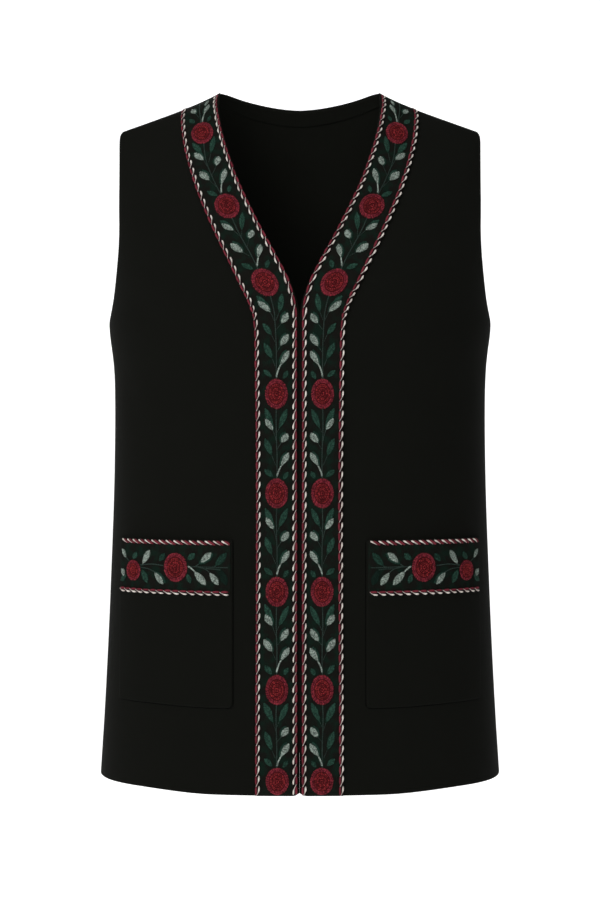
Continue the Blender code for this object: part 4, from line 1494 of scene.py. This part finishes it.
SHOULDER_SPRIG = Sprig((
    SprigRow((43.0, -8.6), (52.5, -6.0), 3.6, LeafKind.PALE),
    SprigRow((52.6, 8.0), (61.6, 4.0), 6.2, LeafKind.PALE, stalk=(70.0, 0.8)),
    SprigRow((53.4, -10.4), (67.5, -4.9), 5.3, LeafKind.PALE, tail=(78.6, -2.0)),
    SprigRow((68.8, 10.6), (77.0, 5.6), 6.2, LeafKind.GREEN),
    SprigRow((73.5, -11.0), (80.0, -7.8), 4.8, LeafKind.GREEN),
))
FIRST_SPRIG = Sprig(
    sway=0.0027,
    rows=(
        SprigRow((10.6, -11.2), (29.0, -4.0), 6.2, LeafKind.GREEN, stalk=(39.0, 0.8)),
        SprigRow((9.0, 11.0), (25.0, 4.6), 6.6, LeafKind.GREEN),
        SprigRow((22.3, 11.7), (33.9, 4.8), 6.8, LeafKind.PALE, stalk=(47.0, 2.4)),
        SprigRow((36.8, -10.5), (45.8, -5.3), 7.2, LeafKind.PALE, stalk=(54.5, 1.6)),
        SprigRow((46.3, 11.8), (59.0, 5.4), 7.8, LeafKind.PALE, stalk=(69.2, 1.2)),
        SprigRow((53.0, -12.6), (69.0, -3.8), 6.4, LeafKind.PALE, tail=(77.8, -0.8)),
        SprigRow((70.0, 11.4), (79.0, 3.4), 5.6, LeafKind.GREEN),
        SprigRow((73.4, -10.8), (80.2, -7.4), 4.8, LeafKind.GREEN),
    ),
)
SECOND_SPRIG = Sprig((
    SprigRow((14.0, -11.2), (32.2, -3.2), 6.0, LeafKind.GREEN, stalk=(39.0, -0.4)),
    SprigRow((12.0, 11.2), (25.0, 4.4), 6.4, LeafKind.GREEN),
    SprigRow((16.2, 11.0), (27.8, 3.6), 5.8, LeafKind.PALE, stalk=(37.0, 0.8)),
    SprigRow((37.0, -12.7), (44.2, -6.2), 7.2, LeafKind.PALE, stalk=(51.0, -0.8)),
    SprigRow((39.8, 11.8), (54.4, 5.0), 7.4, LeafKind.PALE, stalk=(61.0, 1.2)),
    SprigRow((55.2, -13.2), (67.0, -5.2), 6.3, LeafKind.PALE, tail=(74.8, -0.6)),
    SprigRow((64.2, 11.2), (75.2, 3.8), 5.6, LeafKind.GREEN),
    SprigRow((73.6, -12.6), (80.0, -7.8), 5.8, LeafKind.GREEN),
))
THIRD_SPRIG = Sprig((
    SprigRow((13.4, -11.2), (27.0, -4.2), 6.0, LeafKind.GREEN, stalk=(33.6, -0.6)),
    SprigRow((9.0, 11.8), (22.0, 5.4), 6.2, LeafKind.GREEN),
    SprigRow((13.9, 12.4), (26.4, 3.8), 6.8, LeafKind.PALE, stalk=(34.0, 0.6)),
    SprigRow((28.1, -12.3), (35.8, -6.0), 6.9, LeafKind.PALE, stalk=(41.0, -0.6)),
    SprigRow((35.8, 11.3), (45.4, 3.6), 5.8, LeafKind.GREEN, stalk=(51.0, 0.6)),
    SprigRow((44.7, -11.9), (54.1, -4.7), 6.8, LeafKind.PALE, stalk=(59.6, -0.6)),
    SprigRow((51.8, 10.6), (64.6, 3.4), 6.8, LeafKind.GREEN, stalk=(71.0, 0.6)),
    SprigRow((57.9, -12.1), (70.0, -4.0), 6.3, LeafKind.PALE, tail=(80.0, -0.4)),
    SprigRow((73.8, 11.4), (79.2, 4.0), 5.0, LeafKind.GREEN),
    SprigRow((74.5, -10.8), (80.8, -7.0), 5.2, LeafKind.GREEN),
))
MIDDLE_SPRIG = Sprig((
    SprigRow((14.2, -10.2), (32.0, -2.6), 6.2, LeafKind.GREEN, stalk=(36.5, -0.4)),
    SprigRow((13.8, 10.4), (31.0, 3.2), 6.2, LeafKind.GREEN, stalk=(44.0, 0.4)),
    SprigRow((23.3, 9.8), (33.8, 3.1), 5.9, LeafKind.PALE, stalk=(42.0, 0.4)),
    SprigRow((36.7, -10.8), (45.3, -4.5), 7.1, LeafKind.PALE, stalk=(52.0, -0.5)),
    SprigRow((41.8, 10.5), (58.0, 4.3), 6.6, LeafKind.GREEN, stalk=(67.0, 0.6)),
    SprigRow((54.8, -11.4), (67.6, -3.8), 6.2, LeafKind.PALE, tail=(77.4, -0.3)),
    SprigRow((71.0, 11.3), (77.2, 3.4), 5.8, LeafKind.GREEN),
    SprigRow((72.8, -10.6), (79.4, -6.8), 5.0, LeafKind.GREEN),
))
SIXTH_SPRIG = Sprig((
    SprigRow((13.4, -11.0), (32.0, -2.6), 6.0, LeafKind.GREEN, stalk=(37.0, -0.4)),
    SprigRow((12.0, 10.8), (30.0, 3.2), 6.6, LeafKind.GREEN),
    SprigRow((21.8, 10.5), (31.8, 4.2), 7.0, LeafKind.PALE, stalk=(42.0, 0.4)),
    SprigRow((35.4, -10.9), (46.5, -4.1), 6.7, LeafKind.PALE, stalk=(51.0, -0.5)),
    SprigRow((44.8, 11.4), (56.8, 3.9), 6.9, LeafKind.PALE, stalk=(65.0, 0.4)),
    SprigRow((53.0, -11.6), (66.0, -4.0), 6.6, LeafKind.PALE, tail=(77.0, -0.2)),
    SprigRow((69.8, 10.8), (78.0, 4.4), 6.0, LeafKind.GREEN),
    SprigRow((72.6, -10.9), (79.0, -7.2), 5.0, LeafKind.GREEN),
))
SEVENTH_SPRIG = Sprig((
    SprigRow((13.2, -11.0), (32.4, -2.8), 6.2, LeafKind.GREEN, stalk=(38.0, -0.4)),
    SprigRow((13.0, 11.2), (33.4, 3.0), 7.0, LeafKind.GREEN, stalk=(42.0, 0.4)),
    SprigRow((38.2, -10.9), (47.8, -4.9), 6.9, LeafKind.PALE, stalk=(53.0, -0.5)),
    SprigRow((42.8, 10.4), (61.4, 4.0), 6.9, LeafKind.GREEN, stalk=(70.0, 0.6)),
    SprigRow((54.4, -11.9), (68.4, -3.8), 6.8, LeafKind.PALE, tail=(77.8, -0.6)),
    SprigRow((69.8, 11.0), (77.2, 3.8), 5.8, LeafKind.GREEN),
    SprigRow((72.4, -10.4), (78.2, -6.4), 4.8, LeafKind.GREEN),
))


@dataclass
class FrontRibbon:
    """The embroidered ribbon down one front, with its two cords."""

    hand: Hand
    line: BandLine
    spare: float = 0.0020
    gap: float = 0.0002
    wall: float = 0.0011
    lead: float = 0.0350
    roses: tuple[RoseSpot, ...] = (
        RoseSpot(0.0572, -0.0004, 0.0147, 0.0111, lean=-0.08),
        RoseSpot(0.1510, -0.0006, 0.0142, 0.0113, lean=-0.17),
        RoseSpot(0.2376, -0.0004, 0.0148, 0.0113, lean=-0.24),
        RoseSpot(0.3446, -0.0003, 0.0140, 0.0106),
        RoseSpot(0.4375, -0.0001, 0.0140, 0.0106),
        RoseSpot(0.5293, -0.0004, 0.0140, 0.0106),
        RoseSpot(0.6207, -0.0005, 0.0140, 0.0106),
        RoseSpot(0.7056, -0.0010, 0.0126, 0.0108),
    )
    sprigs: tuple[Sprig, ...] = (
        SHOULDER_SPRIG, FIRST_SPRIG, SECOND_SPRIG, THIRD_SPRIG,
        MIDDLE_SPRIG, MIDDLE_SPRIG, SIXTH_SPRIG, SEVENTH_SPRIG,
    )
    inner_cord: tuple[CordPlace, ...] = (
        CordPlace(0.000, -0.0177),
        CordPlace(0.090, -0.0176),
        CordPlace(0.140, -0.0179),
        CordPlace(0.240, -0.0178),
        CordPlace(0.720, -0.0180),
    )
    outer_cord: tuple[CordPlace, ...] = (
        CordPlace(0.000, 0.0152),
        CordPlace(0.045, 0.0174),
        CordPlace(0.085, 0.0186),
        CordPlace(0.140, 0.0190),
        CordPlace(0.200, 0.0206),
        CordPlace(0.240, 0.0219),
        CordPlace(0.262, 0.0203),
        CordPlace(0.285, 0.0179),
        CordPlace(0.313, 0.0173),
        CordPlace(0.720, 0.0167),
    )

    @staticmethod
    def _cord(run: Numbers, cord: Sequence[CordPlace]) -> Array:
        """Offset of a cord."""
        return smooth(run, [place.run for place in cord], [place.across for place in cord])

    def _middle(self, run: float) -> float:
        """Offset of the middle of the ribbon."""
        return float(self._cord(run, self.outer_cord) + self._cord(run, self.inner_cord)) / 2

    def _ground(self, patch: Patch) -> bpy.types.Object:
        """The ribbon's own cloth."""
        length = self.line.length
        runs = np.linspace(0.0, length, 330)
        shares = edge_shares(20, (0.0, 0.008, 0.020, 0.036))
        low = (self._cord(runs, self.inner_cord) - self.spare)[:, None]
        high = (self._cord(runs, self.outer_cord) + self.spare)[:, None]
        across = low + (high - low) * shares
        cut = corner_cut(across + self.line.inset)
        along = runs[:, None] - cut * (runs[:, None] / length) ** 60
        edge = np.minimum(across - low, high - across)
        ends = np.minimum(along, length - cut - along)
        draw = rolled(np.minimum(edge, ends + 0.0006), self.wall)
        outer = patch.at(along, across, self.gap + self.wall - draw)
        inner = patch.at(along, across, np.full_like(across, self.gap * 0.5))
        name = f"ribbon_{self.hand.word}_ground"
        return cloth_piece(name, GROUND, "embroidered_ribbon", (outer, inner), (across, along))

    def _sprig(self, start: float, end: float, sprig: Sprig, sewing: Stitching, shade: Shade) -> None:
        """Works the leaves and the stem between two roses."""
        scale = (end - start) / sprig.spacing
        top, leave = 0.0018, 0.0120

        def flat(along: float, across: float, spread: float = 0.0) -> tuple[float, float]:
            """A flat place from a sprig's own measures, a little off by the spread."""
            run = start + along * 0.001 * scale
            off = across * 0.001 + self._middle(max(run, 0.0))
            return run + shade.about(0, spread, 1)[0], off + shade.about(0, spread * 0.6, 1)[0]

        for row in sprig.rows:
            if start + min(row.tip[0], row.base[0]) * 0.001 * scale < top:
                continue
            tip, base = flat(*row.tip, spread=0.0004), flat(*row.base, spread=0.0004)
            if row.stalk is not None:
                Stem((base, flat(*row.stalk)), lines=(0.0,)).work(sewing, shade)
            pale = row.kind is LeafKind.PALE
            behind = (1 if row.tip[1] > 0 else -1) if pale else 0
            tail = None if row.tail is None else flat(*row.tail)
            blunt, belly = (0.75, 1.60) if tail else (0.58, 1.30) if pale else (0.66, 1.30)
            Leaf(tip, base, row.width * 0.001, row.kind, tail, behind, blunt, belly).work(sewing, shade)
        shares = np.linspace(max(start + leave, top), end - leave, 7)
        turn = np.linspace(0, math.pi, 7)
        sway = -0.0002 + 0.0004 * np.sin(2 * turn) + sprig.sway * np.sin(turn)
        Stem(tuple((float(r), self._middle(r) + s) for r, s in zip(shares, sway))).work(sewing, shade)

    def _cords(self, patch: Patch, shade: Shade) -> list[bpy.types.Object]:
        """The two cords on the ribbon's edges, whose white tails all rise to the wearer's left."""
        made: list[bpy.types.Object] = []
        runs = np.linspace(0.0008, self.line.length - 0.0004, 420)
        for name, cord in (("inner", self.inner_cord), ("outer", self.outer_cord)):
            across = self._cord(runs, cord)
            sewing = Stitching(patch, self.gap + self.wall - 0.0003)
            white_left = not (name == "inner" and self.hand is Hand.RIGHT)
            side = 1 if white_left == (self.hand is Hand.LEFT) else -1
            Cord(np.stack([runs, across], -1), LENS, side, not white_left).work(sewing, shade)
            pieces = sewing.build(f"cord_{name}", self.hand.word, "twisted_cord")
            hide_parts(f"cord_{self.hand.word}_{name}")
            made += pieces
        return made

    def build(self) -> None:
        """Makes the ribbon, its embroidery and its cords."""
        patch = ribbon_patch(self.line, self.hand)
        shade = Shade(11 + self.hand.value)
        ground = self._ground(patch)
        sewing = Stitching(patch, self.gap + self.wall)
        starts = (-self.lead, *(rose.run for rose in self.roses))
        for start, rose, sprig in zip(starts, self.roses, self.sprigs):
            self._sprig(start, rose.run, sprig, sewing, shade)
        for rose in self.roses:
            middle = (rose.run, self._middle(rose.run) + rose.across)
            Rose(middle, (rose.half_along, rose.half_across), rose.lean).work(sewing, shade)
        pieces = sewing.build("ribbon", self.hand.word, "embroidered_ribbon")
        cords = self._cords(patch, shade)
        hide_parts(f"ribbon_{self.hand.word}")
        inner = 2 * self.spare - self.inner_cord[-1].across
        width, usual = inner + max(c.across for c in self.outer_cord), inner + self.outer_cord[-1].across
        usual * self.line.length
        pieces + cords
        LOG.info("ribbon on the %s: %d pieces", self.hand.word, 1 + len(pieces) + len(cords))


@dataclass(frozen=True)
class PocketRow:
    """One leaf on a pocket's ribbon: out from the pocket's inner edge, and down from the roses' level."""

    tip: tuple[float, float]
    base: tuple[float, float]
    width: float
    kind: LeafKind
    tail: tuple[float, float] | None = None
    behind: int = 0


@dataclass(frozen=True)
class PocketRose:
    """A rose on a pocket's ribbon, with its half sizes out and down."""

    middle: tuple[float, float]
    half: tuple[float, float]


POCKET_LEAVES = (
    PocketRow((0.0058, 0.0154), (0.0110, 0.0013), 0.0076, LeafKind.SHADOW),
    PocketRow((0.0056, -0.0147), (0.0163, -0.0022), 0.0072, LeafKind.DEEP),
    PocketRow((0.0134, 0.0153), (0.0215, 0.0040), 0.0066, LeafKind.PALE),
    PocketRow((0.0182, -0.0141), (0.0326, -0.0036), 0.0080, LeafKind.DEEP),
    PocketRow((0.0199, -0.0147), (0.0302, -0.0055), 0.0068, LeafKind.PALE),
    PocketRow((0.0253, 0.0155), (0.0368, 0.0026), 0.0072, LeafKind.PALE, tail=(0.0432, -0.0020)),
    PocketRow((0.0361, -0.0138), (0.0430, -0.0076), 0.0064, LeafKind.GREEN),
    PocketRow((0.0405, 0.0141), (0.0435, 0.0056), 0.0054, LeafKind.GREEN),
    PocketRow((0.0667, -0.0132), (0.0726, -0.0059), 0.0062, LeafKind.DEEP),
    PocketRow((0.0660, 0.0146), (0.0780, 0.0040), 0.0076, LeafKind.DEEP),
    PocketRow((0.0682, 0.0159), (0.0778, 0.0050), 0.0066, LeafKind.PALE),
    PocketRow((0.0834, -0.0160), (0.0921, -0.0024), 0.0066, LeafKind.PALE),
    PocketRow((0.0863, 0.0152), (0.0930, 0.0029), 0.0076, LeafKind.GREEN),
    PocketRow((0.0994, -0.0136), (0.1049, -0.0066), 0.0064, LeafKind.GREEN),
    PocketRow((0.1213, -0.0157), (0.1149, -0.0076), 0.0052, LeafKind.PALE),
    PocketRow((0.1240, 0.0150), (0.1147, 0.0090), 0.0066, LeafKind.GREEN),
    PocketRow((0.1226, 0.0036), (0.1174, 0.0101), 0.0064, LeafKind.PALE),
)
POCKET_STEMS = (
    ((0.0437, -0.0012), (0.0347, -0.0014), (0.0227, -0.0012), (0.0147, -0.0010), (0.0040, -0.0010)),
    ((0.0356, -0.0016), (0.0330, -0.0034), (0.0305, -0.0052)),
    ((0.0330, -0.0012), (0.0258, 0.0008), (0.0217, 0.0038)),
    ((0.0200, -0.0010), (0.0163, -0.0022), (0.0140, -0.0048)),
    ((0.0258, 0.0001), (0.0177, 0.0005), (0.0110, 0.0013)),
    ((0.0955, -0.0013), (0.0816, -0.0028), (0.0683, -0.0018)),
    ((0.0955, 0.0008), (0.0839, 0.0022), (0.0777, 0.0047)),
    ((0.0945, -0.0008), (0.0935, -0.0016), (0.0919, -0.0026)),
    ((0.1149, -0.0076), (0.1120, -0.0056), (0.1096, -0.0040)),
)
POCKET_ROSES = (
    PocketRose((0.0556, -0.0004), (0.0120, 0.0138)),
    PocketRose((0.1045, 0.0042), (0.0095, 0.0099)),
)


@dataclass
class Pocket:
    """A patch pocket with its ribbon and two cords."""

    hand: Hand
    inner: float = 0.0623
    outer: float = 0.1728
    mouth: float = 0.4410
    foot: float = 0.5985
    corner: float = 0.0050
    cords: tuple[float, float] = (0.4441, 0.4912)
    cord_start: float = 0.0030
    cord_ends: tuple[float, float] = (0.1207, 0.1237)
    ribbon_ends: tuple[float, float] = (0.0017, 0.1250)
    spare: float = 0.0020
    rose_drop: float = 0.4680
    gap: float = 0.0002
    wall: float = 0.0014
    ribbon_wall: float = 0.0008
    # the edge stitches lie just outside the pocket's edge, where their dark thread paints the crease's shade
    edge_stitch: float = -0.0004

    def _patch(self) -> tuple[Patch, float]:
        """The pocket's flat cloth: along down from its mouth, across out from its inner edge."""
        fine = np.linspace(self.inner - 0.004, self.outer + 0.004, 300)
        run = run_of(FORM.point(Side.FRONT, fine, np.full_like(fine, math.sqrt(self.rose_drop))))
        run = run - np.interp(self.inner, fine, run)
        across = np.linspace(run[0], run[-1], 60)
        along = np.linspace(-0.004, self.foot - self.mouth + 0.006, 80)
        x = np.interp(across, run, fine)[None, :]
        x, root = np.broadcast_arrays(x, np.sqrt(self.mouth + along)[:, None])
        points = FORM.lifted(Side.FRONT, x, root, 0.0, self.hand)
        normals = FORM.normal(Side.FRONT, x, root) * np.array([self.hand.value, 1, 1])
        return Patch(along, across, points, normals), float(np.interp(self.outer, fine, run))

    def _cloth(self, patch: Patch, width: float) -> bpy.types.Object:
        """The pocket's own cloth, its lower corners cut round and its edges rolled."""
        length = self.foot - self.mouth
        shares = edge_shares(44, (0.0, 0.005, 0.011, 0.020))
        rows = edge_shares(56, (0.0, 0.004, 0.009, 0.016))
        across, along = np.meshgrid(shares * width, rows * length)
        near = np.clip(1 - np.minimum(across, width - across) / self.corner, 0, 1)
        cut = self.corner * (1 - np.sqrt(1 - near**2))
        along = along - cut * (along / length) ** 6
        edge = np.minimum(np.minimum(across, width - across), np.minimum(along, length - cut - along))
        draw = rolled(edge, self.wall)
        outer = patch.at(along, across, self.gap + self.wall - draw)
        inner = patch.at(along, across, np.full_like(across, self.gap * 0.5))
        name = f"pocket_{self.hand.word}_cloth"
        return cloth_piece(name, WOOL, "vest_cloth", (outer, inner), (across, along))

    def _edge_stitching(self, patch: Patch, width: float) -> list[bpy.types.Object]:
        """Black stitches that sew the pocket on, close along its two sides and its foot, darker than the wool
        as painted shade in the crease at its edge.
        """
        low, high = self.edge_stitch, width - self.edge_stitch
        foot = self.foot - self.mouth - self.edge_stitch
        bend = self.corner * 0.8
        lines = (
            ((0.002, low), (foot - bend, low)),
            ((foot - bend, low), (foot - bend * 0.3, low + bend * 0.3), (foot, low + bend)),
            ((foot, low + bend), (foot, high - bend)),
            ((foot, high - bend), (foot - bend * 0.3, high - bend * 0.3), (foot - bend, high)),
            ((foot - bend, high), (0.002, high)),
        )
        sewing = Stitching(patch, 0.0)
        for places in lines:
            Stem(places, (0.0,), 0.00055, 0.0026, 0.0, EDGE_THREAD_AND_SHADE).work(sewing, Shade(5))
        return sewing.build("pocket_edge", self.hand.word, "vest_cloth")

    def _ground(self, patch: Patch) -> bpy.types.Object:
        """The pocket ribbon's own cloth."""
        shares = edge_shares(40, (0.0, 0.006, 0.014))
        rows = edge_shares(22, (0.0, 0.010, 0.024))
        top, bottom = self.cords[0] - self.spare - self.mouth, self.cords[1] + self.spare - self.mouth
        start, end = self.ribbon_ends
        across, along = np.meshgrid(start + shares * (end - start), top + rows * (bottom - top))
        edge = np.minimum(np.minimum(across - start, end - across), np.minimum(along - top, bottom - along))
        draw = rolled(edge, self.ribbon_wall)
        base = self.gap + self.wall
        outer = patch.at(along, across, base + self.ribbon_wall - draw)
        inner = patch.at(along, across, np.full_like(across, base - 0.0001))
        name = f"pocket_ribbon_{self.hand.word}_ground"
        return cloth_piece(name, GROUND, "embroidered_ribbon", (outer, inner), (across, along))

    def _cords(self, patch: Patch, shade: Shade, base: float) -> list[bpy.types.Object]:
        """The cords above and below the ribbon, followed towards the wearer's left."""
        made: list[bpy.types.Object] = []
        for name, drop, end, twist, turned in (
            ("upper", self.cords[0], self.cord_ends[0], ROPE, False),
            ("lower", self.cords[1], self.cord_ends[1], LENS, True),
        ):
            sewing = Stitching(patch, base - 0.0003)
            across = np.linspace(self.cord_start, end, 120)[:: self.hand.value]
            line = np.stack([np.full_like(across, drop - self.mouth), across], -1)
            Cord(line, twist, -self.hand.value, turned, pitch=0.0079).work(sewing, shade)
            pieces = sewing.build(f"pocket_cord_{name}", self.hand.word, "twisted_cord")
            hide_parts(f"pocket_cord_{self.hand.word}_{name}")
            made += pieces
        return made

    def build(self) -> None:
        """Makes the pocket, its ribbon and its cords."""
        patch, width = self._patch()
        shade = Shade(31 + self.hand.value)
        cloth, ground = self._cloth(patch, width), self._ground(patch)
        edging = self._edge_stitching(patch, width)
        base = self.gap + self.wall + self.ribbon_wall
        sewing = Stitching(patch, base)
        down = self.rose_drop - self.mouth
        for places in POCKET_STEMS:
            Stem(tuple((down + v, u) for u, v in places)).work(sewing, shade)
        for row in POCKET_LEAVES:
            tip, start = ((down + v, u) for u, v in (row.tip, row.base))
            tail = None if row.tail is None else (down + row.tail[1], row.tail[0])
            Leaf(tip, start, row.width, row.kind, tail).work(sewing, shade)
        for rose in POCKET_ROSES:
            out, low = rose.middle
            Rose((down + low, out), rose.half[::-1]).work(sewing, shade)
        pieces = sewing.build("pocket", self.hand.word, "embroidered_ribbon")
        cords = self._cords(patch, shade, base)
        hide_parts(f"pocket_{self.hand.word}")
        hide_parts(f"pocket_ribbon_{self.hand.word}")
        pieces + cords
        LOG.info("pocket on the %s: %d pieces", self.hand.word, 2 + len(pieces) + len(cords) + len(edging))


# ------------------------------------------------------------------------------------------ studio
@dataclass(frozen=True)
class Lamp:
    """A soft square light."""

    name: str
    place: tuple[float, float, float]
    aim: tuple[float, float, float]
    size: float
    power: float
    tint: Color = (1.0, 1.0, 1.0)


@dataclass(frozen=True)
class Studio:
    """The camera, a pale floor that curves up behind the vest, and soft light."""

    distance: float = 1.80
    eye: float = -0.357
    lens: float = 72.0
    centre: float = 0.00045
    floor: float = -1.45
    ambient: float = 0.05
    horizon: float = 0.80
    glow: float = 0.67
    lamps: tuple[Lamp, ...] = (
        Lamp("key", (-1.5, -2.3, 1.1), (0.0, 0.0, -0.35), 1.5, 60.0, (1.0, 0.965, 0.985)),
        Lamp("front", (0.0, -3.0, 0.4), (0.0, 0.0, -0.35), 1.8, 20.0),
        Lamp("top", (0.0, -0.6, 2.2), (0.0, 0.0, -0.35), 1.2, 18.0),
        Lamp("back", (-0.9, 2.9, 1.6), (0.0, 0.0, -0.35), 1.1, 42.0),
    )

    def _camera(self) -> None:
        """The camera looks level at the vest."""
        data = bpy.data.cameras.new("camera")
        data.lens = self.lens
        data.sensor_width = 36.0
        data.clip_start, data.clip_end = 0.1, 60.0
        camera = bpy.data.objects.new("camera", data)
        camera.location = (self.centre, -self.distance, self.eye)
        camera.rotation_euler = (math.pi / 2, 0.0, 0.0)
        bpy.context.scene.collection.objects.link(camera)
        bpy.context.scene.camera = camera

    def _backdrop(self) -> None:
        """A floor that sweeps up into a wall."""
        half, front, back, bend, top = 7.0, -6.0, 4.6, 1.4, 4.0
        turn = np.linspace(0, math.pi / 2, 13)
        profile = [(front, self.floor)]
        profile += [(back - bend + bend * math.sin(t), self.floor + bend - bend * math.cos(t)) for t in turn]
        profile += [(back, top)]
        points = [(x, y, z) for y, z in profile for x in (-half, half)]
        faces = [(2 * i, 2 * i + 1, 2 * i + 3, 2 * i + 2) for i in range(len(profile) - 1)]
        mesh = bpy.data.meshes.new("backdrop")
        mesh.from_pydata(points, [], faces)
        mesh.shade_smooth()
        graph = Graph("pale_paper")
        mesh.materials.append(graph.dress(
            Base_Color=(0.86, 0.86, 0.86), Roughness=0.9, Specular_IOR_Level=0.1,
            Emission_Color=(1.0, 1.0, 1.0), Emission_Strength=self.glow,
        ))
        sweep = bpy.data.objects.new("backdrop", mesh)
        bpy.context.scene.collection.objects.link(sweep)

    def _light(self, lamp: Lamp) -> None:
        """Adds one soft light."""
        data = bpy.data.lights.new(lamp.name, "AREA")
        data.shape = "SQUARE"
        data.size = lamp.size
        data.energy = lamp.power
        data.color = lamp.tint
        light = bpy.data.objects.new(lamp.name, data)
        light.location = lamp.place
        way = np.array(lamp.aim) - np.array(lamp.place)
        light.rotation_mode = "QUATERNION"
        light.rotation_quaternion = Vector(way).to_track_quat("-Z", "Y")
        bpy.context.scene.collection.objects.link(light)

    def build(self) -> None:
        """Sets the camera, the backdrop and the light."""
        self._camera()
        self._backdrop()
        for lamp in self.lamps:
            self._light(lamp)
        self._room()
        bpy.context.scene.view_settings.view_transform = "Standard"

    def _room(self) -> None:
        """The room past the backdrop: pale where it is looked at, dim in the light that it gives."""
        world = bpy.data.worlds.new("studio")
        world.use_nodes = True
        nodes, links = world.node_tree.nodes, world.node_tree.links
        strength = nodes.new("ShaderNodeMapRange")
        strength.inputs["To Min"].default_value = self.ambient
        strength.inputs["To Max"].default_value = self.horizon
        links.new(nodes.new("ShaderNodeLightPath").outputs["Is Camera Ray"], strength.inputs["Value"])
        nodes["Background"].inputs["Color"].default_value = (1.0, 1.0, 1.0, 1.0)
        links.new(strength.outputs["Result"], nodes["Background"].inputs["Strength"])
        bpy.context.scene.world = world


def main() -> None:
    """Builds the vest's pieces and the studio."""
    logging.basicConfig(level=logging.INFO, format="%(name)s: %(message)s")
    Studio().build()
    Cloth().build()
    line = BandLine()
    for hand in Hand:
        FrontRibbon(hand, line).build()
        Pocket(hand).build()


if __name__ == "__main__":
    main()
